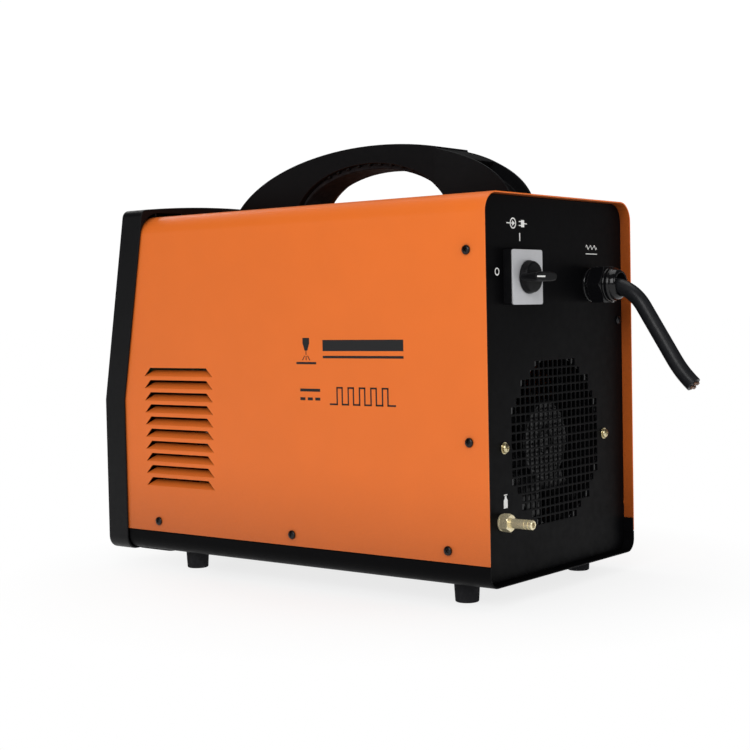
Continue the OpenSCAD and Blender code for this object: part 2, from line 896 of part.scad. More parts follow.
module torch_gas_outlet() {
    thread_back = socket_y + socket_t + 6;
    color(brass) in_frame() difference() {
        union() {
            rod_y(0, gas_z, outlet_r, nipple_front, socket_y - 3);
            translate([0, socket_y - touch_gap, gas_z]) rotate([90, 0, 0]) hex(outlet_hex, 5);
            rod_y(0, gas_z, outlet_thread_r, socket_y - 1, thread_back);
            rod_y(0, gas_z, outlet_tail_r, thread_back - 4, outlet_back);
        }
        rod_y(0, gas_z, outlet_bore_r, nipple_front - over, outlet_back + over);
    }
}

connector_r = 8;
connector_flange_r = 12;
connector_wall = 1.4;
connector_back = socket_y + 14;
pin_r = 0.8;
pin_ring_r = 4;

module torch_connector_shell() {
    color("silver") in_frame() difference() {
        union() {
            rod_y(0, connector_z, connector_flange_r, socket_y - 2, socket_y - touch_gap);
            rod_y(0, connector_z, connector_r, socket_front + 1, connector_back);
        }
        rod_y(0, connector_z, connector_r - connector_wall, socket_front, connector_back + over);
    }
}

module torch_connector_insert() {
    color("black") in_frame() {
        rod_y(0, connector_z, connector_r - connector_wall - shaft_gap, socket_y, connector_back);
        for (i = [0:4])
            rod_y(pin_ring_r * cos(i * 72), connector_z + pin_ring_r * sin(i * 72), pin_r,
                  socket_front + 4, connector_back + 4, 16);
    }
}

// ---------- mains switch ----------

switch_base_t = 8.5;
switch_shaft_r = 3;
switch_neck_r = 7.9;
knob_r = 14.5;
knob_back = back_y + 0.4;
knob_skirt = 6.5;
grip_len = 34;
grip_w = 8.5;
grip_front = back_y + 19;
grip_mark = 0.6;         // depth and half width of the pointer groove
block_depth = 50;
block_half = 21;
terminal_side = 7;
terminal_pitch = 13;

module switch_base() {
    half = switch_side / 2;
    color("black") in_frame() difference() {
        box([switch_x - half, panel_y + film_gap, switch_z - half],
            [switch_x + half, panel_y + switch_base_t, switch_z + half]);
        rod_y(switch_x, switch_z, switch_shaft_r + shaft_gap, panel_y - over, back_y);
    }
}

module switch_plate() {
    half = switch_side / 2 - 0.3;
    color("silver") in_frame() difference() {
        box([switch_x - half, panel_y + switch_base_t + film_gap, switch_z - half],
            [switch_x + half, back_y, switch_z + half]);
        rod_y(switch_x, switch_z, 9, panel_y, back_y + over);
    }
}

module switch_contact_block() {
    front = panel_in - touch_gap;
    color("gainsboro") in_frame() difference() {
        union() {
            box([switch_x - block_half, front - block_depth, switch_z - block_half],
                [switch_x + block_half, front, switch_z + block_half]);
            rod_y(switch_x, switch_z, switch_neck_r, front - 1, panel_y);
        }
        rod_y(switch_x, switch_z, switch_shaft_r + shaft_gap, front - 30, panel_y + over);
        // Terminal pockets in the two sides.
        for (s = [-1, 1], i = [0:2])
            translate([switch_x + s * block_half, front - 12 - i * terminal_pitch, switch_z])
                cube([terminal_side, terminal_side, 30], center = true);
    }
}

module switch_shaft() {
    color("silver") in_frame() rod_y(switch_x, switch_z, switch_shaft_r, panel_in - 26, back_y + 12);
}

module switch_knob() {
    half_l = grip_len / 2;
    half_g = grip_w / 2;
    color("black") in_frame() difference() {
        union() {
            translate([switch_x, knob_back, switch_z]) rotate([-90, 0, 0])
                cylinder(h = knob_skirt, r1 = knob_r, r2 = knob_r - 1.2, $fn = fine_fn);
            intersection() {
                box([switch_x - half_l, knob_back + 2, switch_z - half_g],
                    [switch_x + half_l, grip_front, switch_z + half_g]);
                // The grip is highest over its middle and steps down towards its ends.
                union() {
                    rod_y(switch_x, switch_z, knob_r - 1, knob_back, grip_front);
                    box([switch_x - half_l, knob_back + 4, switch_z - half_g],
                        [switch_x + half_l, grip_front - 2, switch_z + half_g]);
                }
            }
        }
        rod_y(switch_x, switch_z, switch_shaft_r + film_gap, back_y, back_y + 12.1);
        box([switch_x + 4, grip_front - grip_mark, switch_z - grip_mark],
            [switch_x + grip_len, grip_front + over, switch_z + grip_mark]);
    }
}

// ---------- cable gland and mains cable ----------

gland_tube_r = 12.4;
gland_bore_r = 8;
gland_flange_r = 15.6;
gland_thread_r = 13;
gland_corner_r = 18.8;
gland_seal_r = 10.05;
gland_mouth_r = 10.8;
nut_start = panel_y + 6.3;
nut_hex = 14.5;          // length of the dome nut's hexagon
nut_collar = 5;          // length of the round collar after it
nut_collar_r = 15.8;
nut_len = 26.5;          // length of the whole dome nut
nut_thread = 15.2;       // depth of its thread
nut_end = nut_start + nut_len;
locknut_hex = 31;

module gland_body() {
    body_af = gland_af - 5;
    color("black") in_frame() difference() {
        union() {
            translate([gland_x, panel_y + 6, gland_z]) rotate([90, 0, 0]) hex(body_af, 4);
            rod_y(gland_x, gland_z, gland_flange_r, panel_y + film_gap, panel_y + 2.5);
            rod_y(gland_x, gland_z, gland_tube_r, panel_in - 8, panel_y + 1);
            rod_y(gland_x, gland_z, gland_thread_r, panel_y + 5, panel_y + 21);
        }
        rod_y(gland_x, gland_z, gland_bore_r, panel_in - 9, panel_y + 22);
        rod_y(gland_x, gland_z, gland_seal_r, panel_y + 3, panel_y + 22);
    }
}

module gland_dome_nut() {
    mouth_z = 17.5;
    bore_r = gland_bore_r + 0.3;
    color("black") in_frame()
        translate([gland_x, nut_start, gland_z]) rotate([-90, 0, 0]) difference() {
            intersection() {
                hex(gland_af, nut_len);
                rotate_extrude($fn = fine_fn) polygon([
                    [0, 0],
                    [gland_corner_r - 0.8, 0],
                    [gland_corner_r, 0.8],
                    [gland_corner_r, nut_hex - 2],
                    [nut_collar_r, nut_hex],
                    [nut_collar_r - 0.2, nut_hex + nut_collar],
                    [nut_collar_r - 1.4, nut_hex + nut_collar + 0.8],
                    [gland_mouth_r + 2.4, nut_len - 2],
                    [gland_mouth_r + 1, nut_len],
                    [0, nut_len]
                ]);
            }
            translate([0, 0, -over])
                cylinder(h = nut_thread + over, r = gland_thread_r + seat_gap, $fn = round_fn);
            cylinder(h = nut_len + over, r = bore_r, $fn = round_fn);
            translate([0, 0, mouth_z])
                cylinder(h = nut_len - mouth_z + film_gap, r1 = bore_r, r2 = gland_mouth_r, $fn = round_fn);
        }
}

module gland_seal() {
    color("darkslategray") in_frame() difference() {
        rod_y(gland_x, gland_z, gland_seal_r - touch_gap, panel_y + 3.2, panel_y + 19);
        rod_y(gland_x, gland_z, cable_r + touch_gap, panel_y, panel_y + 22);
    }
}

module gland_locknut() {
    color("black") in_frame() difference() {
        translate([gland_x, panel_in - touch_gap, gland_z]) rotate([90, 0, 0]) hex(locknut_hex, 6);
        rod_y(gland_x, gland_z, gland_tube_r + touch_gap, panel_in - 10, panel_in + over);
    }
}

cable_start = panel_in - 10;
cable_bend_y = panel_y + 18;   // where the cable starts to bend down
cable_bend_r = 44;
cable_bend = 58;               // angle of the fall
cable_run = 57;
cable_lift_r = 103;
cable_lift = 15;               // angle by which the fall eases again
cable_tail = 3;
key_len = 4;

// Runs children along the cable's path: each stage hands on to the next.
module cable_stage(n) {
    if (n == 0)
        translate([gland_x, cable_start, gland_z]) children();
    if (n == 1)
        translate([gland_x, cable_bend_y, gland_z]) children();
    if (n == 2)
        cable_stage(1)
            translate([0, cable_bend_r * sin(cable_bend), -cable_bend_r * (1 - cos(cable_bend))])
                rotate([-cable_bend, 0, 0]) children();
    if (n == 3)
        cable_stage(2) translate([0, cable_run, 0]) children();
    if (n == 4)
        cable_stage(3)
            translate([0, cable_lift_r * sin(cable_lift), cable_lift_r * (1 - cos(cable_lift))])
                rotate([cable_lift, 0, 0]) children();
}

// A bend that starts at the origin along +Y and turns down (dir = -1) or up (dir = 1).
module bend(r, deg, dir, section_r) {
    mirror([0, 0, dir > 0 ? 1 : 0])
        translate([0, 0, -r])
            rotate([0, -90, 0])
                rotate_extrude(angle = deg, $fn = wide_fn)
                    translate([r, 0]) circle(section_r, $fn = plain_fn);
}

// A straight run from the origin along +Y.
module run_y(len, section_r) {
    rotate([-90, 0, 0]) cylinder(h = len, r = section_r, $fn = plain_fn);
}

// A thin core across a joint between two stages, so that they are one solid.
module cable_key() {
    translate([0, -key_len / 2, 0]) run_y(key_len, cable_r / 2);
}

module mains_cable() {
    color("dimgray") in_frame() {
        cable_stage(0) run_y(cable_bend_y - cable_start, cable_r);
        cable_stage(1) bend(cable_bend_r, cable_bend, -1, cable_r);
        cable_stage(2) run_y(cable_run, cable_r);
        cable_stage(3) bend(cable_lift_r, cable_lift, 1, cable_r);
        cable_stage(4) run_y(cable_tail, cable_r);
        for (n = [1:4]) cable_stage(n) cable_key();
    }
}

core_off = 2.4;
core_r = 1.7;
core_stub = 1.5;     // length of the cut cores beyond the jacket
cable_fall = cable_bend - cable_lift;   // angle below level of the cable's end

// The rearmost point of the cut cores, and the middle of the whole machine.
cable_end_y = cable_bend_y + cable_bend_r * sin(cable_bend) + cable_run * cos(cable_bend)
    + cable_lift_r * (sin(cable_bend) - sin(cable_fall))
    + (cable_tail + film_gap + core_stub) * cos(cable_fall) + (core_off + core_r) * sin(cable_fall);
middle_y = (nipple_front + cable_end_y) / 2;

module mains_cable_cores() {
    near_turn = 6;       // where the cores turn towards the switch, behind the jacket's end
    far_turn = 14;
    cores_end = switch_x - block_half - seat_gap;
    color("saddlebrown") in_frame() for (sx = [-1, 1], sz = [-1, 1]) {
        turn_y = cable_start - (sx > 0 ? near_turn : far_turn);
        x = gland_x + sx * core_off;
        z = gland_z + sz * core_off;
        rod_y(x, z, core_r, turn_y, cable_start - film_gap, small_fn);
        translate([x, turn_y, z]) sphere(core_r, $fn = small_fn);
        translate([x, turn_y, z])
            rotate([0, 90, 0]) cylinder(h = cores_end - x, r = core_r, $fn = small_fn);
        cable_stage(4)
            translate([sx * core_off, cable_tail + film_gap, sz * core_off])
                run_y(core_stub, core_r);
    }
}

// ---------- gas inlet ----------

inlet_hex = 14;
inlet_nut_hex = 16;
inlet_flange_r = 7.4;
inlet_thread_r = 5.5;
inlet_tail_r = 4;
inlet_bore_r = 2.4;
inlet_end = panel_y + 32;
inlet_back = panel_in - 24;
groove_depth = 0.4;
groove_pitch = 4;

module gas_inlet_fitting() {
    color(brass) in_frame() difference() {
        union() {
            translate([gas_x, panel_y + 9.5, gas_z]) rotate([90, 30, 0]) hex(inlet_hex, 8);
            rod_y(gas_x, gas_z, inlet_flange_r, panel_y + film_gap, panel_y + 1.6);
            rod_y(gas_x, gas_z, inlet_thread_r, panel_in - 8, panel_y + 1);
            rod_y(gas_x, gas_z, inlet_r, panel_y + 5, inlet_end - 1);
            translate([gas_x, inlet_end - 1, gas_z]) rotate([-90, 0, 0])
                cylinder(h = 1, r1 = inlet_r, r2 = inlet_r - 0.9, $fn = round_fn);
            rod_y(gas_x, gas_z, inlet_tail_r, inlet_back, panel_in - 7);
        }
        // Two grooves for the hose.
        for (i = [1:2])
            translate([gas_x, inlet_end - i * groove_pitch, gas_z]) rotate([90, 0, 0]) difference() {
                cylinder(h = 1, r = inlet_r + over, $fn = round_fn);
                translate([0, 0, -over])
                    cylinder(h = 3, r = inlet_r - groove_depth, $fn = round_fn);
            }
        rod_y(gas_x, gas_z, inlet_bore_r, inlet_back - over, inlet_end + over);
    }
}

module gas_inlet_nut() {
    color(brass) in_frame() difference() {
        translate([gas_x, panel_in - touch_gap, gas_z]) rotate([90, 0, 0]) hex(inlet_nut_hex, 4);
        rod_y(gas_x, gas_z, inlet_thread_r + touch_gap, panel_in - 10, panel_in + over);
    }
}

// ---------- fan ----------

fan_r = 79;
fan_throat = 75;
fan_depth = 38;
fan_back = panel_in - seat_gap;
fan_front = fan_back - fan_depth;
hub_r = 37;
hub_face = panel_y - 11;
hub_depth = 22;
hub_wall_t = 4;
hub_boss_r = 12;
hub_boss_in = 8.5;
hub_boss_h = 1.2;
stator_r = 31;
blade_r = 73;
blade_axial = 20;
blade_back = hub_face - 1;     // the blades' rearmost plane
blade_chord = 34;
blade_t = 2;
blade_deg = 35;
motor_shaft_r = 3;
spoke_t = 4.5;
spoke_w = 6;
ear_t = 8;
ear_r = 6;

module fan_frame() {
    color("darkslategray") in_frame() difference() {
        union() {
            rod_y(0, fan_z, fan_r, fan_front, fan_back, wide_fn);
            both_sides() {
                rod_y(fan_ear_x, fan_z, ear_r, fan_back - ear_t, fan_back);
                box([fan_throat, fan_back - ear_t, fan_z - ear_r], [fan_ear_x, fan_back, fan_z + ear_r]);
            }
        }
        difference() {
            rod_y(0, fan_z, fan_throat, fan_front - over, fan_back + over, wide_fn);
            rod_y(0, fan_z, stator_r + 1, fan_front - 2 * over, fan_front + spoke_t);
            for (a = [30, 90, 150])
                translate([0, 0, fan_z]) rotate([0, a, 0])
                    box([-fan_r, fan_front - 2 * over, -spoke_w / 2],
                        [fan_r, fan_front + spoke_t, spoke_w / 2]);
        }
        both_sides() rod_y(fan_ear_x, fan_z, m4_hole_r, fan_front, fan_back + over, small_fn);
    }
}

module fan_stator() {
    color("dimgray") in_frame() difference() {
        rod_y(0, fan_z, stator_r, fan_front + spoke_t + touch_gap, hub_face - hub_wall_t - 1);
        rod_y(0, fan_z, motor_shaft_r + shaft_gap, fan_front + spoke_t + 3, hub_face);
    }
}

// One blade, on the hub's +X side.
module fan_blade() {
    intersection() {
        difference() {
            rod_y(0, 0, blade_r, blade_back - blade_axial, blade_back, wide_fn);
            rod_y(0, 0, hub_r - 1, blade_back - 2 * blade_axial, hub_face + over, fine_fn);
        }
        translate([0, blade_back - blade_axial / 2, 0]) rotate([blade_deg, 0, 0])
            box([hub_r - 4, -blade_t / 2, -blade_chord / 2],
                [blade_r + over, blade_t / 2, blade_chord / 2]);
    }
}

module fan_rotor() {
    color("black") in_frame() {
        difference() {
            union() {
                rod_y(0, fan_z, hub_r, hub_face - hub_depth, hub_face, fine_fn);
                rod_y(0, fan_z, hub_boss_r, hub_face - 1, hub_face + hub_boss_h);
            }
            rod_y(0, fan_z, stator_r + 1.5, hub_face - hub_depth - over, hub_face - hub_wall_t);
            rod_y(0, fan_z, hub_boss_in, hub_face, hub_face + hub_boss_h + over);
        }
        rod_y(0, fan_z, motor_shaft_r, fan_front + spoke_t + 4, hub_face - 3);
        for (i = [0:blade_count - 1])
            translate([0, 0, fan_z]) rotate([0, i * 360 / blade_count, 0]) fan_blade();
    }
}

module fan_screws() {
    head_r = 4.2;
    head_h = 2.8;
    shank_l = 15;
    nut_hex_af = 7;
    nut_h = 3.2;
    nut_y = fan_back - ear_t - touch_gap;
    color(brass) in_frame() both_sides() {
        translate([fan_ear_x, panel_y, fan_z]) rotate([-90, 0, 0])
            pan_screw(head_r, head_h, m4_shank_r, shank_l);
        difference() {
            translate([fan_ear_x, nut_y, fan_z]) rotate([90, 0, 0]) hex(nut_hex_af, nut_h);
            rod_y(fan_ear_x, fan_z, m4_shank_r + film_gap, nut_y - nut_h - over, nut_y + over, small_fn);
        }
    }
}

// ---------- gas path inside ----------

valve_y = 128;
valve_half = 15;         // half length of the block
valve_side = 11;         // half width and half height of the block
valve_foot = [6, 10];    // half width and half length of its foot
valve_top = gas_z + valve_side;
barb_r = 4;
barb_l = 14;
sleeve_r = 6;            // the plunger's guide tube
sleeve_h = 29;
coil_half = [14, 16];
coil_top = valve_top + 32;
plunger_r = 4.5;
plunger_seat = 4;        // depth of the plunger's seat in the block
plunger_travel = 2;
hose_ro = 6;
hose_ri = 4.05;
hose_lap = 12;           // how far a hose end is pushed over a barb
hose_far_y = -160;       // where the hose turns across the machine
hose_turn_r = 25;

module gas_valve_body() {
    color(brass) in_frame() difference() {
        union() {
            box([gas_x - valve_side, valve_y - valve_half, gas_z - valve_side],
                [gas_x + valve_side, valve_y + valve_half, valve_top]);
            box([gas_x - valve_foot[0], valve_y - valve_foot[1], floor_z + seat_gap],
                [gas_x + valve_foot[0], valve_y + valve_foot[1], gas_z - valve_side + 1]);
            rod_y(gas_x, gas_z, barb_r, valve_y - valve_half - barb_l, valve_y + valve_half + barb_l);
            translate([gas_x, valve_y, valve_top - 1])
                cylinder(h = sleeve_h + 1, r = sleeve_r, $fn = round_fn);
        }
        translate([gas_x, valve_y, valve_top - plunger_seat])
            cylinder(h = sleeve_h + 1, r = plunger_r + shaft_gap, $fn = round_fn);
    }
}

module gas_valve_coil() {
    color("black") in_frame() difference() {
        box([gas_x - coil_half[0], valve_y - coil_half[1], valve_top + seat_gap],
            [gas_x + coil_half[0], valve_y + coil_half[1], coil_top]);
        translate([gas_x, valve_y, valve_top - over])
            cylinder(h = sleeve_h + 3, r = sleeve_r + shaft_gap, $fn = round_fn);
    }
}

module gas_valve_plunger() {
    plunger_h = sleeve_h + 0.8 - plunger_travel - seat_gap;
    color("silver") in_frame()
        translate([gas_x, valve_y, valve_top - plunger_seat + seat_gap])
            cylinder(h = plunger_h, r = plunger_r, $fn = round_fn);
}

// A straight hose along Y from y0 to y1.
module hose_run(x, y0, y1) {
    translate([x, y0, gas_z])
        rotate([-90, 0, 0])
            linear_extrude(y1 - y0) hose_ring(hose_ro, hose_ri);
}

// A quarter turn of hose in the level plane, about the origin.
module hose_turn() {
    rotate_extrude(angle = 90, $fn = wide_fn)
        translate([hose_turn_r, 0]) hose_ring(hose_ro, hose_ri);
}

module gas_hoses() {
    cross_y = hose_far_y - hose_turn_r;
    block_end = valve_half + barb_l - hose_lap;
    color("steelblue") in_frame() {
        // Panel fitting to valve.
        hose_run(gas_x, valve_y + block_end, panel_in - 10);
        // Valve to the torch gas outlet: forwards, across and forwards again.
        hose_run(gas_x, hose_far_y, valve_y - block_end);
        translate([gas_x - hose_turn_r, hose_far_y, gas_z]) rotate([0, 0, -90]) hose_turn();
        translate([hose_turn_r, cross_y, gas_z])
            rotate([0, 90, 0])
                linear_extrude(gas_x - 2 * hose_turn_r) hose_ring(hose_ro, hose_ri);
        translate([hose_turn_r, cross_y - hose_turn_r, gas_z]) rotate([0, 0, 90]) hose_turn();
        hose_run(0, socket_y + hose_lap, cross_y - hose_turn_r);
    }
}

// ---------- power electronics ----------

sink_y0 = -100;
sink_y1 = 130;
sink_z0 = 62;
sink_z1 = 200;
sink_x = 62;             // outer face of a heatsink's base
sink_base = 6;
fin_len = 44;
fin_t = 2;
fin_count = 10;
stand_size = [16, 24];
stand_ys = [-80, 90];
module_size = [12, 48, 66];
module_pitch = 72;
module_z = 110;
board_x = sink_x + module_size[0] + seat_gap;
pcb_t = 1.6;
pcb_z0 = 92;
pcb_z1 = 300;
relay_size = [12.5, 16, 22];
relay_pitch = 28;
relay_z = 268;
cap_r = 17.5;
cap_h = 38;
cap_pitch = [46, 62];
cap_first = [40, 130];   // first capacitor: from the board's front end, and its height

module heatsinks() {
    pitch = (sink_z1 - sink_z0 - fin_t) / (fin_count - 1);
    inner = sink_x - sink_base;
    color("silver") in_frame() both_sides() {
        box([inner, sink_y0, sink_z0], [sink_x, sink_y1, sink_z1]);
        for (i = [0:fin_count - 1])
            box([inner - fin_len, sink_y0, sink_z0 + i * pitch],
                [inner + 1, sink_y1, sink_z0 + i * pitch + fin_t]);
    }
}

module heatsink_stands() {
    color("ivory") in_frame() both_sides() for (y = stand_ys)
        box([sink_x - stand_size[0], y, floor_z + seat_gap],
            [sink_x, y + stand_size[1], sink_z0 - seat_gap]);
}

module power_modules() {
    color("black") in_frame() both_sides() for (i = [0:2])
        translate([sink_x, sink_y0 + 20 + i * module_pitch, module_z])
            box([touch_gap, 0, 0], module_size);
}

module power_board() {
    color("darkgreen") in_frame() {
        box([board_x, sink_y0, pcb_z0], [board_x + pcb_t, sink_y1, pcb_z1]);
        for (i = [0:3])
            translate([board_x + pcb_t - seat_gap, sink_y0 + 14 + i * relay_pitch, relay_z])
                cube(relay_size);
    }
}

module bus_capacitors() {
    color("midnightblue") in_frame() for (i = [0:3], j = [0:1])
        translate([board_x + pcb_t + touch_gap, sink_y0 + cap_first[0] + i * cap_pitch[0],
                   cap_first[1] + j * cap_pitch[1]])
            rotate([0, 90, 0]) cylinder(h = cap_h, r = cap_r, $fn = round_fn);
}

wound_x = -92;
core_half = [20, 36, 29];
core_z = floor_z + seat_gap + core_half[2];
leg_half = 10;
window_w = 14;
window_half = 18;
coil_play = 0.2;         // gap between a coil and the leg inside it
coil_build = 6;          // how far a coil stands out beyond the core
through = 100;

// A laminated core with two windows through X, standing on the floor.
module e_core(y) {
    color("gray") in_frame() translate([wound_x, y, core_z]) difference() {
        box(-core_half, core_half);
        for (s = [-1, 1])
            translate([0, s * (leg_half + window_w / 2), 0])
                cube([through, window_w, 2 * window_half], center = true);
    }
}

// The coil round the core's middle leg.
module e_coil(y, tint) {
    outer = [core_half[0] + coil_build, leg_half + window_w - 1, window_half - 0.5];
    inner = [core_half[0] + coil_play, leg_half + coil_play, through / 2];
    color(tint) in_frame() translate([wound_x, y, core_z]) difference() {
        box(-outer, outer);
        box(-inner, inner);
    }
}

transformer_y = 56;
choke_y = -56;

module transformer_core() { e_core(transformer_y); }
module transformer_winding() { e_coil(transformer_y, copper); }
module choke_core() { e_core(choke_y); }
module choke_winding() { e_coil(choke_y, "orangered"); }

bar_y = -196;
bar_t = 3;
bar_z0 = 66;
bar_low_z1 = 90;
bar_high_z0 = 92;
bar_z1 = 108;
bar_half = 10;           // half width of a bar at its stud
bar_inner_x = -58;       // the positive bar's run towards the diodes
bar_outer = 16;          // how far the negative bar's run lies outside its stud
stud_hole = 5.1;

module output_busbars() {
    run_x = -socket_x - bar_outer;
    diode_y = sink_y0 - 4;
    choke_front = choke_y - core_half[1] - 2;
    color(copper) in_frame() {
        // Positive: across the front, then back to the diode side.
        difference() {
            union() {
                box([bar_inner_x, bar_y, bar_high_z0], [socket_x + bar_half, bar_y + bar_t, bar_z1]);
                box([socket_x - bar_half, bar_y, bar_z0], [socket_x + bar_half, bar_y + bar_t, bar_z1]);
                box([bar_inner_x, bar_y, bar_high_z0], [bar_inner_x + bar_t, diode_y, bar_z1]);
            }
            rod_y(socket_x, socket_z, stud_hole, bar_y - over, bar_y + bar_t + over);
        }
        // Negative: straight back to the choke.
        difference() {
            union() {
                box([run_x, bar_y, bar_z0], [-socket_x + bar_half, bar_y + bar_t, bar_low_z1]);
                box([run_x, bar_y, bar_z0], [run_x + bar_t, choke_front, bar_low_z1]);
            }
            rod_y(-socket_x, socket_z, stud_hole, bar_y - over, bar_y + bar_t + over);
        }
    }
}

hf_box = [68, 44];       // width and length of the ignition unit's case
hf_mid_y = -130;
hf_top = 72;
hf_coil_r = 14;
hf_coil_h = 9;

module hf_ignition_unit() {
    color(satin_black) in_frame() translate([0, hf_mid_y, 0]) {
        box([-hf_box[0] / 2, -hf_box[1] / 2, floor_z + seat_gap], [hf_box[0] / 2, hf_box[1] / 2, hf_top]);
        translate([0, 0, hf_top - 1])
            cylinder(h = hf_coil_h + 1, r = hf_coil_r, $fn = round_fn);
    }
}

// ---------- nodes ----------

base_pan();
cover();
rear_panel();
front_bezel();
handle();
case_screws();
frame_screws();
feet();
control_panel();
panel_overlay();
display_window();
display_module();
indicator_leds();
control_board();
encoder_body();
encoder_knob();
button_process();
button_trigger();
button_pulse();
button_gas_test();
button_select();
socket_panel();
output_socket_shells();
output_socket_inserts();
torch_gas_outlet();
torch_connector_shell();
torch_connector_insert();
front_panel_screws();
switch_base();
switch_plate();
switch_contact_block();
switch_shaft();
switch_knob();
gland_body();
gland_dome_nut();
gland_seal();
gland_locknut();
mains_cable();
mains_cable_cores();
gas_inlet_fitting();
gas_inlet_nut();
fan_frame();
fan_stator();
fan_rotor();
fan_screws();
gas_valve_body();
gas_valve_coil();
gas_valve_plunger();
gas_hoses();
heatsinks();
heatsink_stands();
power_board();
power_modules();
bus_capacitors();
transformer_core();
transformer_winding();
choke_core();
choke_winding();
output_busbars();
hf_ignition_unit();
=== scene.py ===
import json
import math

import bmesh
import bpy
from mathutils import Matrix, Vector


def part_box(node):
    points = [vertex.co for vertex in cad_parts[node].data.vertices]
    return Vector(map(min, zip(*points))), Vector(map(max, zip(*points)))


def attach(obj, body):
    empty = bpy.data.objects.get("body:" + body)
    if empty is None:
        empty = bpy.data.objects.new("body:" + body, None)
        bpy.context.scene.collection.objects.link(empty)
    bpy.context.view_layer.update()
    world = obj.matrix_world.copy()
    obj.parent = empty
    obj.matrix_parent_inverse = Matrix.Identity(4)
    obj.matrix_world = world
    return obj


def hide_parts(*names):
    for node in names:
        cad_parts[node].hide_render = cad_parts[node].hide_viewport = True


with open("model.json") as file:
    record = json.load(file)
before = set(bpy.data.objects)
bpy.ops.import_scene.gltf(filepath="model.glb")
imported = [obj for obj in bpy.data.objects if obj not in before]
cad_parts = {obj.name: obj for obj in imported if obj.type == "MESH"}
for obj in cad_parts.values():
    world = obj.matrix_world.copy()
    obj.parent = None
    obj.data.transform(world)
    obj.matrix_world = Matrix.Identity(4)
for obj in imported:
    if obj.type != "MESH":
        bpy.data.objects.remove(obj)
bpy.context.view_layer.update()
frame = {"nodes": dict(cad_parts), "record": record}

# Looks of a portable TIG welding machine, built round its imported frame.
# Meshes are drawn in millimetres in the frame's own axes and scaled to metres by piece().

CASE = "machine_case"
MM = 0.001


def span(node):
    """Lowest and highest corner of a CAD node, in millimetres."""
    low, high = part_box(node)
    return low / MM, high / MM


def middle(node):
    """Where a CAD node's middle is across the machine and in height."""
    low, high = span(node)
    return (low.x + high.x) / 2, (low.z + high.z) / 2


# ---------- driving sizes ----------

COVER_LOW, COVER_HIGH = span("cover")
BEZEL_LOW, BEZEL_HIGH = span("front_bezel")
PANEL_LOW, PANEL_HIGH = span("rear_panel")
PAN_LOW, PAN_HIGH = span("base_pan")
HALF_W = COVER_HIGH.x
REAR = COVER_HIGH.y          # the cover's rear edge
MIDDLE = REAR - 221          # the middle of the cover's side walls
PANEL_Y = PANEL_HIGH.y       # outer face of the rear panel
COVER_T = 1.2
COVER_R = 18
PAN_T = 1.5
PAN_R = 12
KINK_Z = 169                 # where the front starts to lean back
LEAN = math.radians(10)
BEZEL_DEPTH = 28


def front_y(z):
    """The front line at height z: upright below the kink, leaning back above it."""
    return BEZEL_LOW.y + max(0, z - KINK_Z) * math.tan(LEAN)


# ---------- drawing tools ----------

AXES = {"x": (1, 2, 0), "y": (0, 2, 1), "z": (0, 1, 2)}


def place(u, v, w, axis):
    """A point from two drawing coordinates and one along the axis."""
    point = [0.0, 0.0, 0.0]
    for index, value in zip(AXES[axis], (u, v, w)):
        point[index] = value
    return point


def arc(cx, cy, r, start, end, steps, ry=None):
    """Points on an arc or an elliptical arc, angles in degrees."""
    ry = r if ry is None else ry
    angles = [math.radians(start + (end - start) * i / steps) for i in range(steps + 1)]
    return [(cx + r * math.cos(a), cy + ry * math.sin(a)) for a in angles]


def rounded(x0, y0, x1, y1, r, steps=5):
    """The outline of a rectangle with rounded corners."""
    return (arc(x1 - r, y1 - r, r, 0, 90, steps) + arc(x0 + r, y1 - r, r, 90, 180, steps)
            + arc(x0 + r, y0 + r, r, 180, 270, steps) + arc(x1 - r, y0 + r, r, 270, 360, steps))


def mirrored(points):
    """A line from the right half's points, carried on over the left half."""
    return points + [(-u, v) for u, v in reversed(points)]


def value_at(end, u, v):
    return end(u, v) if callable(end) else end


def skin(bm, rings):
    """Faces between neighbouring closed rings of corners; a ring of one corner is a tip."""
    for lower, upper in zip(rings, rings[1:]):
        for i in range(max(len(lower), len(upper))):
            walk = ((lower, i), (lower, i + 1), (upper, i + 1), (upper, i))
            corners = list(dict.fromkeys(ring[k % len(ring)] for ring, k in walk))
            if len(corners) > 2:
                bm.faces.new(corners)


def prism(bm, outline, axis, low, high):
    """A closed outline drawn across the axis, from low to high (numbers or functions)."""
    rings = []
    for end in (low, high):
        rings.append([bm.verts.new(place(u, v, value_at(end, u, v), axis)) for u, v in outline])
        bm.faces.new(rings[-1])
    skin(bm, rings)
    return bm


def solid(outline, axis, low, high):
    return shape(prism(bmesh.new(), outline, axis, low, high))


def channel(bm, outer, inner, axis, low, high):
    """A bent sheet: matched outer and inner lines, drawn from low to high along the axis."""
    grid = []
    for line in (outer, inner):
        for end in (low, high):
            grid.append([bm.verts.new(place(u, v, value_at(end, u, v), axis)) for u, v in line])
    out_low, out_high, in_low, in_high = grid
    for i in range(len(outer) - 1):
        j = i + 1
        for a, b in ((out_low, out_high), (in_low, in_high), (out_low, in_low), (out_high, in_high)):
            bm.faces.new((a[i], b[i], b[j], a[j]))
    for i in (0, -1):
        bm.faces.new((out_low[i], out_high[i], in_high[i], in_low[i]))
    return bm


def box(bm, low, high):
    outline = [(low[0], low[1]), (high[0], low[1]), (high[0], high[1]), (low[0], high[1])]
    return prism(bm, outline, "z", low[2], high[2])


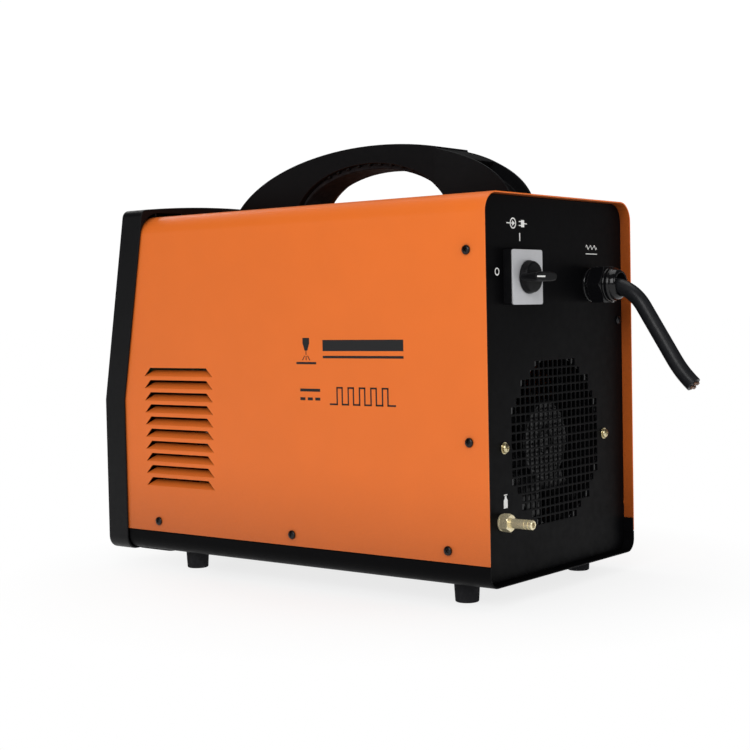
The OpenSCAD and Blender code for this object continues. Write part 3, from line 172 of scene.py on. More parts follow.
def lathe(bm, profile, centre, direction="y", steps=64):
    """Turns a profile of (radius, distance) round an axis through centre, along a direction."""
    heading = Vector({"x": (1, 0, 0), "y": (0, 1, 0), "z": (0, 0, 1)}.get(direction, direction))
    turn = heading.to_track_quat("Z", "Y").to_matrix()
    centre = Vector(centre)
    rings = []
    for radius, distance in profile:
        count = steps if radius > 0 else 1
        angles = [2 * math.pi * i / steps for i in range(count)]
        spots = [Vector((radius * math.cos(a), radius * math.sin(a), distance)) for a in angles]
        rings.append([bm.verts.new(centre + turn @ spot) for spot in spots])
    skin(bm, rings)
    for ring in (rings[0], rings[-1]):
        if len(ring) > 2 and profile[0] != profile[-1]:
            bm.faces.new(ring)
    return bm


def turned(profile, centre, direction="y", steps=64):
    return shape(lathe(bmesh.new(), profile, centre, direction, steps))


def turned_ring(bm, profile, centre, direction="y", steps=64):
    """Adds a ring: a closed profile that stays clear of its axis."""
    ring = lathe(bmesh.new(), profile + [profile[0]], centre, direction, steps)
    bmesh.ops.remove_doubles(ring, verts=ring.verts, dist=0.001)
    return merge(bm, ring)


def washer(bm, centre, direction, inner, outer, start, end, steps=48):
    """Adds a flat ring round an axis."""
    profile = [(inner, start), (outer, start), (outer, end), (inner, end)]
    return turned_ring(bm, profile, centre, direction, steps)


def hexagon(across_flats, turn=0):
    radius = across_flats / math.sqrt(3)
    angles = [math.radians(turn + 60 * i) for i in range(6)]
    return [(radius * math.cos(a), radius * math.sin(a)) for a in angles]


def turned_hexagon(across_flats, turn, centre, low, high, profile, edge):
    """A hexagon along y whose corners are turned off to a profile round the same axis."""
    x, y, z = centre
    nut = solid([(x + u, z + v) for u, v in hexagon(across_flats, turn)], "y", y + low, y + high)
    return soften(combine(nut, turned(profile, centre), "INTERSECT"), edge, 2, 25)


def sweep(bm, path, radius, steps=32):
    """A round bar along a path that lies in a plane of constant x."""
    rings = []
    side = Vector((1, 0, 0))
    angles = [2 * math.pi * k / steps for k in range(steps)]
    for i, point in enumerate(path):
        before, after = path[max(i - 1, 0)], path[min(i + 1, len(path) - 1)]
        up = side.cross((Vector(after) - Vector(before)).normalized())
        spots = [Vector(point) + radius * (side * math.cos(a) + up * math.sin(a)) for a in angles]
        rings.append([bm.verts.new(spot) for spot in spots])
    skin(bm, rings)
    bm.faces.new(rings[0])
    bm.faces.new(rings[-1])
    return bm


def stroke(bm, points, width, axis, low, high):
    """A line of even width along a list of points, as a thin solid."""
    left, right = [], []
    last = len(points) - 1
    for i, (u, v) in enumerate(points):
        before, after = points[max(0, i - 1)], points[min(last, i + 1)]
        du, dv = after[0] - before[0], after[1] - before[1]
        length = math.hypot(du, dv)
        du, dv = du / length * width / 2, dv / length * width / 2
        left.append((u - dv, v + du))
        right.append((u + dv, v - du))
    return prism(bm, left + right[::-1], axis, low, high)


def merge(bm, other, matrix=None):
    """Adds one drawing to another, optionally moved."""
    if matrix is not None:
        other.transform(matrix)
    joined = bpy.data.meshes.new("work")
    other.to_mesh(joined)
    other.free()
    bm.from_mesh(joined)
    bpy.data.meshes.remove(joined)
    return bm


def shape(bm):
    """A working object from a drawing."""
    bmesh.ops.recalc_face_normals(bm, faces=bm.faces)
    mesh = bpy.data.meshes.new("work")
    bm.to_mesh(mesh)
    bm.free()
    made = bpy.data.objects.new("work", mesh)
    bpy.context.scene.collection.objects.link(made)
    return made


def bake(made):
    """Turns an object's modifiers into its mesh."""
    bpy.context.view_layer.update()
    graph = bpy.context.evaluated_depsgraph_get()
    mesh = bpy.data.meshes.new_from_object(made.evaluated_get(graph))
    made.modifiers.clear()
    made.data = mesh
    return made


def absorb(bm, made):
    """Adds a working object's mesh to a drawing."""
    bm.from_mesh(made.data)
    bpy.data.objects.remove(made)


def combine(made, other, operation):
    modifier = made.modifiers.new("combine", "BOOLEAN")
    modifier.operation = operation
    modifier.solver = "EXACT"
    modifier.object = other
    bake(made)
    bpy.data.objects.remove(other)
    return made


def cut(made, bm):
    return combine(made, shape(bm), "DIFFERENCE")


def soften(made, width, segments=2, angle=35):
    """Rounds the edges sharper than an angle and keeps the flat faces flat."""
    modifier = made.modifiers.new("soften", "BEVEL")
    modifier.width = width
    modifier.segments = segments
    modifier.limit_method = "ANGLE"
    modifier.angle_limit = math.radians(angle)
    modifier.use_clamp_overlap = True
    modifier.miter_outer = "MITER_ARC"
    bake(made)
    return made


def piece(made, name, slot, *nodes, body=CASE, sharp=50, ink=None):
    """Finishes a working object: metres, smooth shading, material, body and CAD nodes."""
    made.name = made.data.name = name
    made.data.transform(Matrix.Scale(MM, 4))
    made.data.materials.clear()
    made.data.materials.append(ink or MATERIALS[slot])
    made.data.shade_smooth()
    made.data.set_sharp_from_angle(angle=math.radians(sharp))
    weighted = made.modifiers.new("flat_faces", "WEIGHTED_NORMAL")
    weighted.keep_sharp = True
    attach(made, body)
    if nodes:
        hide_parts(*nodes)
    return made


def plate(outline, holes, thickness, edge):
    """A flat plate with holes and softened edges, drawn in the XY plane about z = 0."""
    curve = bpy.data.curves.new("work", "CURVE")
    curve.dimensions = "2D"
    curve.fill_mode = "BOTH"
    curve.extrude = thickness / 2 - edge
    curve.bevel_depth = edge
    curve.bevel_resolution = 1
    curve.offset = -edge
    for points in [outline] + holes:
        line = curve.splines.new("POLY")
        line.points.add(len(points) - 1)
        for spot, (u, v) in zip(line.points, points):
            spot.co = (u, v, 0, 1)
        line.use_cyclic_u = True
    made = bpy.data.objects.new("work", curve)
    bpy.context.scene.collection.objects.link(made)
    bpy.context.view_layer.update()
    mesh = bpy.data.meshes.new_from_object(made.evaluated_get(bpy.context.evaluated_depsgraph_get()))
    bpy.data.objects.remove(made)
    bm = bmesh.new()
    bm.from_mesh(mesh)
    bmesh.ops.remove_doubles(bm, verts=bm.verts, dist=0.001)
    return shape(bm)


def stand(made, centre, x_axis, y_axis):
    """Moves a plate from its drawing plane to a place, along two given directions."""
    x_axis, y_axis = Vector(x_axis).normalized(), Vector(y_axis).normalized()
    turn = Matrix((x_axis, y_axis, x_axis.cross(y_axis))).transposed().to_4x4()
    made.data.transform(Matrix.Translation(Vector(centre)) @ turn)
    return made


# ---------- materials ----------

WAVE_SCALE = 0.314           # the wave texture's scale for one band a unit
EDGE_TURN = (0.98, 0.75)     # cosines of the turn at which an edge starts to count in the edge mask (worn edges and painted edge highlights), and fully


class Nodes:
    """A small helper that adds and joins shader nodes."""

    def __init__(self, name):
        self.material = bpy.data.materials.new(name)
        self.material.use_nodes = True
        self.tree = self.material.node_tree
        self.shader = next(n for n in self.tree.nodes if n.type == "BSDF_PRINCIPLED")
        self.space = self.add("ShaderNodeTexCoord").outputs["Object"]

    def feed(self, node, values):
        """Gives a node's inputs their values or links."""
        for key, value in values.items():
            if isinstance(value, bpy.types.NodeSocket):
                self.tree.links.new(value, node.inputs[key])
            else:
                node.inputs[key].default_value = value

    def add(self, kind, values=None, **settings):
        node = self.tree.nodes.new(kind)
        for key, value in settings.items():
            setattr(node, key, value)
        self.feed(node, values or {})
        return node

    def texture(self, kind, scales, values, **settings):
        """A texture over the piece, with a scale per axis in features per millimetre."""
        scales = [scale / MM for scale in scales]
        mapping = self.add("ShaderNodeMapping", {"Scale": scales, "Vector": self.space})
        return self.add(kind, {"Scale": 1, "Vector": mapping.outputs[0], **values}, **settings)

    def noise(self, per_mm, detail=3, stretch=(1, 1, 1), rough=0.5):
        values = {"Detail": detail, "Roughness": rough}
        return self.texture("ShaderNodeTexNoise", [per_mm * way for way in stretch], values).outputs["Fac"]

    def cells(self, per_mm, feature="F1"):
        return self.texture("ShaderNodeTexVoronoi", [per_mm] * 3, {}, feature=feature).outputs["Distance"]

    def bands(self, per_mm, axis="X", distortion=0.0):
        values = {"Scale": per_mm * WAVE_SCALE, "Distortion": distortion}
        return self.texture("ShaderNodeTexWave", [1] * 3, values, bands_direction=axis).outputs["Fac"]

    def ramp(self, value, low, high, at_low=0.0, at_high=1.0):
        """Maps a value from one range to another, clamped."""
        values = {"Value": value, "From Min": low, "From Max": high, "To Min": at_low, "To Max": at_high}
        return self.add("ShaderNodeMapRange", values).outputs["Result"]

    def mix(self, factor, first, second):
        values = {"Factor": factor, 6: first, 7: second}
        return self.add("ShaderNodeMix", values, data_type="RGBA").outputs[2]

    def edges(self, radius_mm):
        """Close to 1 on edges, where a rounded normal leaves the true one; it marks worn edges and painted
        edge highlights.
        """
        bevel = self.add("ShaderNodeBevel", {"Radius": radius_mm * MM}, samples=4)
        normals = {0: bevel.outputs["Normal"], 1: self.add("ShaderNodeNewGeometry").outputs["Normal"]}
        dot = self.add("ShaderNodeVectorMath", normals, operation="DOT_PRODUCT")
        return self.ramp(dot.outputs["Value"], *EDGE_TURN)

    def enclosure(self, reach_mm):
        """1 in the open, towards 0 where surfaces closer than the reach surround a place."""
        return self.add("ShaderNodeAmbientOcclusion", {"Distance": reach_mm * MM}, samples=4).outputs["AO"]

    def bump(self, height, depth_mm, strength=1.0, base=None):
        values = {"Strength": strength, "Distance": depth_mm * MM, "Height": height}
        if base is not None:
            values["Normal"] = base
        return self.add("ShaderNodeBump", values).outputs["Normal"]

    def finish(self, color, rough, metal=0.0, normal=None, specular=0.5, coat=0.0, coat_rough=0.2):
        values = {"Base Color": color, "Roughness": rough, "Metallic": metal, "Specular IOR Level": specular,
                  "Coat Weight": coat, "Coat Roughness": coat_rough}
        if normal is not None:
            values["Normal"] = normal
        self.feed(self.shader, values)
        return self.material


def shade(color, factor, lift=0.0):
    """A colour made paler or darker, after a small equal lift of its channels."""
    return tuple(min(1.0, (c + lift) * factor) for c in color[:3]) + (1.0,)


def powder_coat(name, color, grain, depth, rough, specular, edge_wear_and_sheen, spread=0.05, shadow=0.0):
    """Sprayed paint: a fine orange-peel grain, slight colour drift, worn edges painted paler that also serve
    as a painted edge highlight, and painted shade in recesses.
    """
    n = Nodes(name)
    drift = n.ramp(n.noise(0.02, 2), 0.35, 0.65)
    speck = n.ramp(n.noise(3.0, 2), 0.3, 0.7)
    paint = n.mix(drift, shade(color, 1 - spread), shade(color, 1 + spread))
    paint = n.mix(n.ramp(speck, 0, 1, 0, 0.10), paint, shade(color, 0.78))
    scuffs = n.ramp(n.noise(0.35, 5, rough=0.7), 0.55, 0.75)
    # edges painted paler where scuffed: worn paint and a painted edge highlight
    edge = n.add("ShaderNodeMath", {0: n.edges(0.5), 1: n.ramp(scuffs, 0, 1, 0.25 * edge_wear_and_sheen, edge_wear_and_sheen)},
                 operation="MULTIPLY")
    paint = n.mix(edge.outputs[0], paint, shade(color, 1.6, 0.04))
    # painted shade: the colour darkens where surfaces close round a place, as on the cover's inner walls
    if shadow:
        recess = n.ramp(n.enclosure(120), 0.40, 0.90, shadow, 0)
        paint = n.mix(recess, paint, shade(color, 0.12))
    normal = n.bump(n.noise(grain, 2), depth, 0.55)
    normal = n.bump(n.noise(grain * 4.5, 2), depth * 0.25, 0.4, normal)
    return n.finish(paint, n.ramp(n.noise(0.15, 3), 0.3, 0.7, rough - 0.05, rough + 0.05),
                    normal=normal, specular=specular)


def moulding(name, color, rough, specular=0.4, grain=2.2, depth=0.03, coat=0.0):
    """Injection-moulded plastic: spark-eroded grain, faint flow marks, and edges painted paler as a painted
    edge highlight that also stands for scuffs.
    """
    n = Nodes(name)
    flow = n.ramp(n.noise(0.03, 4, (1, 0.3, 1)), 0.3, 0.7)
    skin = n.mix(flow, shade(color, 0.88), shade(color, 1.14))
    # painted edge highlight: every edge is lightened, standing for light caught on the rims and for light
    # scuffing
    skin = n.mix(n.ramp(n.edges(0.6), 0, 1, 0, 0.6), skin, shade(color, 1.4, 0.05))
    normal = n.bump(n.cells(grain), depth, 0.35)
    normal = n.bump(n.noise(grain * 0.5, 3), depth * 1.5, 0.25, normal)
    return n.finish(skin, n.ramp(n.noise(0.2, 4), 0.3, 0.7, rough - 0.06, rough + 0.08),
                    normal=normal, specular=specular, coat=coat)


def metal(name, color, rough, streak=(1, 1, 1), grain=1.5, depth=0.012, tarnish=0.25, metallic=1.0):
    """Bare or plated metal: directional marks and patches of duller surface."""
    n = Nodes(name)
    patch = n.ramp(n.noise(0.08, 5, rough=0.65), 0.35, 0.7)
    tone = n.mix(n.ramp(patch, 0, 1, 0, tarnish), color + (1.0,), shade(color, 0.55))
    marks = n.noise(grain, 3, streak)
    tone = n.mix(n.ramp(marks, 0.3, 0.7, 0, 0.18), tone, shade(color, 0.7))
    return n.finish(tone, n.ramp(marks, 0.3, 0.7, rough - 0.07, rough + 0.1), metallic,
                    n.bump(marks, depth, 0.4))


def elastomer(name, color, rough, specular=0.35, per_mm=1.4, depth=0.05, dusty=0.3):
    """Rubber or cable jacket: matt skin with dust held in a fine grain."""
    n = Nodes(name)
    dust = n.ramp(n.noise(0.12, 5, rough=0.7), 0.45, 0.8)
    skin = n.mix(n.ramp(dust, 0, 1, 0, dusty), color + (1.0,), shade(color, 1.8, 0.02))
    return n.finish(skin, n.ramp(n.noise(0.4, 3), 0.3, 0.7, rough - 0.06, rough + 0.06),
                    normal=n.bump(n.noise(per_mm, 4), depth, 0.4), specular=specular)


def winding(name, color, per_mm, axis):
    """Round enamelled wire laid side by side, with painted shade in the grooves between turns."""
    n = Nodes(name)
    turns = n.bands(per_mm, axis, 0.3)
    # painted shade: the grooves between neighbouring turns are darkened
    tone = n.mix(n.ramp(turns, 0.0, 0.35, 1, 0), color + (1.0,), shade(color, 0.25))
    tone = n.mix(n.ramp(n.noise(0.1, 3), 0.4, 0.7, 0, 0.3), tone, shade(color, 0.6))
    return n.finish(tone, 0.32, 0.85, n.bump(turns, 0.5, 0.8))


def circuit_board(name, color):
    """Solder mask over etched tracks, with rows of bright pads."""
    n = Nodes(name)
    tracks = n.ramp(n.cells(0.16, "DISTANCE_TO_EDGE"), 0.05, 0.09)
    tone = n.mix(tracks, shade(color, 1.7), color + (1.0,))
    pads = n.ramp(n.cells(0.22), 0.16, 0.2, 1, 0)
    tone = n.mix(pads, tone, (0.62, 0.6, 0.52, 1))
    return n.finish(tone, n.ramp(pads, 0, 1, 0.38, 0.25), n.ramp(pads, 0, 1, 0, 0.9),
                    n.bump(tracks, 0.06, 0.5))


def tinted(name, color, rough):
    """A clear coloured lens, unlit, with a faint moulded ripple."""
    n = Nodes(name)
    tone = n.mix(n.ramp(n.noise(0.3, 2), 0.3, 0.7), shade(color, 0.85), shade(color, 1.15))
    return n.finish(tone, n.ramp(n.noise(0.5, 3), 0.3, 0.7, rough, rough + 0.06),
                    normal=n.bump(n.noise(0.8, 2), 0.01, 0.3), coat=0.6, coat_rough=0.05)


def stacked_core(name, color, per_mm):
    """Core material: lamination lines and a dry, slightly rusty skin."""
    n = Nodes(name)
    sheets = n.bands(per_mm, "X", 0.2)
    rust = n.ramp(n.noise(0.15, 5, rough=0.7), 0.5, 0.8, 0, 0.5)
    tone = n.mix(rust, color + (1.0,), (0.16, 0.07, 0.035, 1))
    tone = n.mix(n.ramp(sheets, 0, 0.25, 0.6, 0), tone, shade(color, 0.3))
    return n.finish(tone, 0.6, 0.5, n.bump(sheets, 0.15, 0.5))


def printed(name, color):
    """Screen-printed ink, slightly thin in places."""
    n = Nodes(name)
    thin = n.ramp(n.noise(2.5, 3), 0.55, 0.8, 0, 0.25)
    return n.finish(n.mix(thin, color + (1.0,), shade(color, 0.7)), 0.55,
                    normal=n.bump(n.noise(4.0, 2), 0.01, 0.3), specular=0.3)


MATERIALS = {
    # the paints' wear figure also sets their painted edge highlight; orange's last figure sets its painted
    # shade in recesses
    "orange_paint": powder_coat("orange_paint", (0.80, 0.165, 0.020), 1.1, 0.04, 0.40, 0.35, 0.5, 0.015, 0.9),
    "black_paint": powder_coat("black_paint", (0.0022, 0.0022, 0.0026), 0.9, 0.04, 0.44, 0.04, 0.25),
    "black_plastic": moulding("black_plastic", (0.0040, 0.0041, 0.0047), 0.38, 0.13, depth=0.02),
    "gloss_black": moulding("gloss_black", (0.0030, 0.0030, 0.0036), 0.17, 0.30, 1.2, 0.002),
    "fan_black": moulding("fan_black", (0.0035, 0.0035, 0.004), 0.17, 0.40, 1.6, 0.003),
    "display_black": moulding("display_black", (0.02, 0.012, 0.012), 0.5),
    "overlay_film": moulding("overlay_film", (0.030, 0.032, 0.037), 0.42, 0.4, 3.5, 0.02),
    "button_grey": moulding("button_grey", (0.34, 0.35, 0.37), 0.5),
    "white_plastic": moulding("white_plastic", (0.66, 0.65, 0.60), 0.45),
    "core_brown": moulding("core_brown", (0.10, 0.045, 0.022), 0.4),
    "hose_blue": moulding("hose_blue", (0.03, 0.10, 0.30), 0.25, 0.5, 0.8, 0.02, 0.3),
    "cap_sleeve": moulding("cap_sleeve", (0.015, 0.035, 0.14), 0.28, 0.5, 0.6, 0.02, 0.3),
    "black_screw": metal("black_screw", (0.035, 0.034, 0.036), 0.34, grain=2.5),
    "steel": metal("steel", (0.58, 0.58, 0.60), 0.28, (1, 1, 8)),
    "silver_plate": metal("silver_plate", (0.62, 0.625, 0.645), 0.42, (0.06, 1, 1), 2.4, 0.02, 0.12, 0.35),
    "aluminium": metal("aluminium", (0.70, 0.71, 0.72), 0.34, (1, 0.05, 1), 1.5, 0.03),
    "brass": metal("brass", (0.86, 0.76, 0.50), 0.27, (1, 6, 1), 1.2, 0.02, 0.25, 0.6),
    "yellow_zinc": metal("yellow_zinc", (0.66, 0.58, 0.36), 0.26, grain=2.0),
    "copper": winding("copper", (0.70, 0.30, 0.15), 0.55, "Z"),
    "rubber": elastomer("rubber", (0.014, 0.014, 0.0155), 0.85, 0.06),
    "cable_jacket": elastomer("cable_jacket", (0.009, 0.0095, 0.011), 0.36, 0.20, 0.5, 0.012, 0.10),
    "board_green": circuit_board("board_green", (0.010, 0.085, 0.032)),
    "red_lens": tinted("red_lens", (0.10, 0.005, 0.006), 0.08),
    "led_green": tinted("led_green", (0.10, 0.55, 0.16), 0.12),
    "core_grey": stacked_core("core_grey", (0.10, 0.10, 0.105), 1.4),
}
WHITE_INK = printed("white_ink", (0.80, 0.80, 0.78))
BLACK_INK = printed("black_ink", (0.012, 0.012, 0.013))
GREY_INK = printed("grey_ink", (0.42, 0.43, 0.45))


# ---------- housing ----------

def sheet_line(x, low, high, r):
    """Half width, skirt, top and radius of a cover line, from one skirt over the roof to the other."""
    return mirrored([(-x, low), (-x, KINK_Z)] + arc(-x + r, high - r, r, 180, 90, 10))


LOUVRE_MID = MIDDLE - 146.6
LOUVRE_TOP = 202
LOUVRE_PITCH = 12.2
LOUVRE_COUNT = 10
LOUVRE_H = 8.3
LOUVRE_HALF = 39.25          # half length of the upper edge
LOUVRE_SPLAY = 8.2           # how much longer each end is at the bottom
FLAP_TILT = math.radians(40)
FLAP_SLIT = 1.8              # lanced gap at a flap's ends


def louvre_line(slit, height):
    """A louvre's outline: its lower edge is the hinge."""
    share = height / LOUVRE_H
    low, high = LOUVRE_HALF + LOUVRE_SPLAY, LOUVRE_HALF + LOUVRE_SPLAY * (1 - share)
    return [(-low, 0), (low, 0), (high - slit, height), (slit - high, height)]


def louvre_places():
    for side in (-1, 1):
        for i in range(LOUVRE_COUNT):
            yield side, LOUVRE_TOP - LOUVRE_H - i * LOUVRE_PITCH


def build_cover():
    lap = BEZEL_DEPTH - 9
    shell = bmesh.new()
    channel(shell, sheet_line(HALF_W, COVER_LOW.z, COVER_HIGH.z, COVER_R),
            sheet_line(HALF_W - COVER_T, COVER_LOW.z, COVER_HIGH.z - COVER_T, COVER_R - COVER_T),
            "y", lambda u, v: front_y(v) + lap, REAR)
    cover = shape(shell)
    openings = bmesh.new()
    for side, z in louvre_places():
        outline = [(LOUVRE_MID + y, z + h) for y, h in louvre_line(0, LOUVRE_H)]
        prism(openings, outline, "x", side * HALF_W - 4, side * HALF_W + 4)
    soften(cut(cover, openings), 0.35, 2, 40)
    flaps = bmesh.new()
    for side, z in louvre_places():
        low, high = (-COVER_T, 0) if side > 0 else (0, COVER_T)
        flap = prism(bmesh.new(), louvre_line(FLAP_SLIT, LOUVRE_H - 0.3), "x", low, high)
        lean = Matrix.Rotation(-side * FLAP_TILT, 4, "Y")
        merge(flaps, flap, Matrix.Translation((side * HALF_W, LOUVRE_MID, z)) @ lean)
    flaps = soften(shape(flaps), 0.3, 2, 40)
    piece(cover, "cover_shell", "orange_paint", "cover")
    piece(flaps, "cover_louvre_flaps", "orange_paint", "cover")


PAN_FLANGE_TOP = 64
PAN_NOTCH_Z = 50             # height of the pan's flanges behind the rear panel


def pan_line(x, floor, r, shelf, flange_x):
    """The pan's section: flanges inside the cover, a shelf for the cover's edge and a round bottom."""
    flange = [(-flange_x, PAN_FLANGE_TOP), (-flange_x, shelf), (-x, shelf)]
    return mirrored(flange + arc(-x + r, floor + r, r, 180, 270, 8))


def build_base_pan():
    shelf = COVER_LOW.z - 0.4
    flange_x = HALF_W - COVER_T - 0.1
    outer = pan_line(HALF_W, PAN_LOW.z, PAN_R, shelf, flange_x)
    inner = pan_line(HALF_W - PAN_T, PAN_LOW.z + PAN_T, PAN_R - PAN_T, shelf - PAN_T, flange_x - PAN_T)
    pan = shape(channel(bmesh.new(), outer, inner, "y", PAN_LOW.y, PAN_HIGH.y))
    behind = (-HALF_W, PANEL_Y + 0.1, PAN_NOTCH_Z)
    cut(pan, box(bmesh.new(), behind, (HALF_W, PAN_HIGH.y + 5, PAN_FLANGE_TOP + 5)))
    piece(soften(pan, 0.45, 2, 40), "base_tray", "black_paint", "base_pan")


GRILLE_Z = 134.5
GRILLE_PITCH = 7.75
GRILLE_COUNT = 19
GRILLE_HOLE = 6
PANEL_T = 1.5
PANEL_STEP = 66              # the panel is narrower below this height, between the pan's flanges


def grille_places():
    centre = (GRILLE_COUNT - 1) / 2
    reach = (GRILLE_COUNT / 2 + 0.4) * GRILLE_PITCH
    for i in range(GRILLE_COUNT):
        for j in range(GRILLE_COUNT):
            x, z = (i - centre) * GRILLE_PITCH, (j - centre) * GRILLE_PITCH
            if math.hypot(x, z) < reach:
                yield x, GRILLE_Z + z


def build_rear_panel():
    upper, lower = PANEL_HIGH.x, HALF_W - COVER_T - PAN_T - 0.4
    r_top, r_low = COVER_R - COVER_T - 0.4, PAN_R - PAN_T
    top, low = PANEL_HIGH.z, PANEL_LOW.z
    right = (arc(lower - r_low, low + r_low, r_low, 270, 360, 8)
             + [(lower, PANEL_STEP), (upper, PANEL_STEP)]
             + arc(upper - r_top, top - r_top, r_top, 0, 90, 10))
    half = GRILLE_HOLE / 2
    holes = [rounded(x - half, z - half, x + half, z + half, 0.8, 3) for x, z in grille_places()]
    panel = plate(mirrored(right), holes, PANEL_T, 0.3)
    stand(panel, (0, PANEL_Y - PANEL_T / 2, 0), (1, 0, 0), (0, 0, 1))
    piece(panel, "rear_plate", "black_paint", "rear_panel", sharp=40)


BROW_TOP = 366.2
BROW_CROWN = 5.8
BEZEL_R = 7
BEZEL_INNER_R = 22
WEB_FRONT = 5                # the web that carries both front panels, from the front line
WEB_BACK = 8
SLOPE_MID = 262              # middle height of the control panel
WINDOW_HALF_W = 107          # opening behind the output panel
WINDOW_Z = (36, 158)
SLOPE_WINDOW = (103, 75)     # half sizes of the opening behind the control panel
CUT = 30                     # how far a cutter reaches past what it cuts


def bezel_line(half, low, shoulder, r, crown):
    """The bezel's front view: round lower corners, round shoulders and a crowned top."""
    right = arc(half - PAN_R, low + PAN_R, PAN_R, 270, 360, 6)
    right += [(half, KINK_Z)] + arc(half - r, shoulder - r, r, 0, 88, 10)
    for i in range(1, 7):
        share = 1 - i / 6
        right.append(((half - r) * share, shoulder + crown * (1 - share ** 2)))
    return right + [(-u, v) for u, v in reversed(right[:-1])]


def from_front(distance):
    """A function for the end of a prism: a distance behind the front line."""
    return lambda u, v: front_y(v) + distance


def bent_prism(outline, low, high):
    """A prism along y between two distances from the front line, split flat at its bend."""
    bm = prism(bmesh.new(), outline, "y", from_front(low), from_front(high))
    everything = bm.verts[:] + bm.edges[:] + bm.faces[:]
    bmesh.ops.bisect_plane(bm, geom=everything, dist=0.001, plane_co=(0, 0, KINK_Z), plane_no=(0, 0, 1))
    return bm


def build_bezel():
    shoulder = BROW_TOP - BROW_CROWN
    outer = bezel_line(BEZEL_HIGH.x, BEZEL_LOW.z, shoulder, BEZEL_R, BROW_CROWN)
    inner = bezel_line(HALF_W + 0.3, PAN_LOW.z - 0.1, shoulder - 3, BEZEL_INNER_R, 0.5)
    bezel = shape(bent_prism(outer, 0, BEZEL_DEPTH))
    cut(bezel, bent_prism(inner, WEB_BACK, BEZEL_DEPTH + CUT))
    cut(bezel, bent_prism(inner, -CUT, WEB_FRONT))
    windows = bmesh.new()
    low, high = WINDOW_Z
    box(windows, (-WINDOW_HALF_W, BEZEL_LOW.y - CUT, low), (WINDOW_HALF_W, BEZEL_LOW.y + CUT, high))
    half, reach = SLOPE_WINDOW[0], SLOPE_WINDOW[1] * math.cos(LEAN)
    opening = rounded(-half, SLOPE_MID - reach, half, SLOPE_MID + reach, 3)
    prism(windows, opening, "y", from_front(-CUT), from_front(CUT))
    soften(cut(bezel, windows), 0.8, 3, 40)
    ribs = bmesh.new()
    for i in range(-3, 4):
        x = i * 35
        rib = [(x - 0.8, COVER_HIGH.z + 0.1), (x + 0.8, COVER_HIGH.z + 0.1), (x + 0.8, shoulder - 2.6),
               (x - 0.8, shoulder - 2.6)]
        prism(ribs, rib, "y", from_front(WEB_BACK - 1), from_front(BEZEL_DEPTH - 1.2))
    side = HALF_W - PAN_R - 2
    tongue = rounded(-side, BEZEL_LOW.y + BEZEL_DEPTH - 2, side, BEZEL_HIGH.y, 6)
    prism(ribs, tongue, "z", BEZEL_LOW.z + 0.02, PAN_LOW.z - 0.1)
    piece(bezel, "front_frame", "black_plastic", "front_bezel", sharp=35)
    piece(soften(shape(ribs), 0.3, 2, 40), "front_frame_ribs", "black_plastic", "front_bezel")


HANDLE_LOW, HANDLE_HIGH = span("handle")
ARCH = (MIDDLE + 25, 331, 189, 82)         # centre y, centre z, half length, rise
TAIL = (MIDDLE + 25, 345, 155.6, 68)       # the lower rear end
TAIL_START = MIDDLE + 102
TAIL_HALF = 18.5
TAPER = (MIDDLE + 100, MIDDLE + 142)       # the handle narrows between these two places
GRIP = (MIDDLE + 19, 342, 94, 54)
GRIP_PAD = 5                               # how far the pad hangs below the grip
GRIP_PAD_HALF = 19
POCKET = (MIDDLE + 134, MIDDLE + 172)
POCKET_DEPTH = 13
POCKET_WALL = 2.2
GRIP_RIB_PITCH = 13.5
GRIP_RIB_INSET = 3


def ellipse_between(ellipse, first_y, last_y, steps):
    """The upper part of an ellipse from one place along the machine to another."""
    cy, cz, a, b = ellipse
    start, end = (math.degrees(math.acos((y - cy) / a)) for y in (first_y, last_y))
    return arc(cy, cz, a, start, end, steps, ry=b)


def ellipse_ends(ellipse, z):
    """The two places along the machine where an ellipse is at a height."""
    cy, cz, a, b = ellipse
    reach = a * math.sqrt(1 - ((z - cz) / b) ** 2)
    return cy - reach, cy + reach


def handle_plan(half):
    """The handle from above: its full width, and narrower behind the taper."""
    wide, before = half + 5, TAPER[0] - 20
    low_y, high_y = HANDLE_LOW.y - 20, HANDLE_HIGH.y + 20
    right = [(wide, before), (half, before), (half, TAPER[0]), (TAIL_HALF, TAPER[1]), (TAIL_HALF, high_y)]
    return [(-wide, low_y), (wide, low_y)] + mirrored(right)


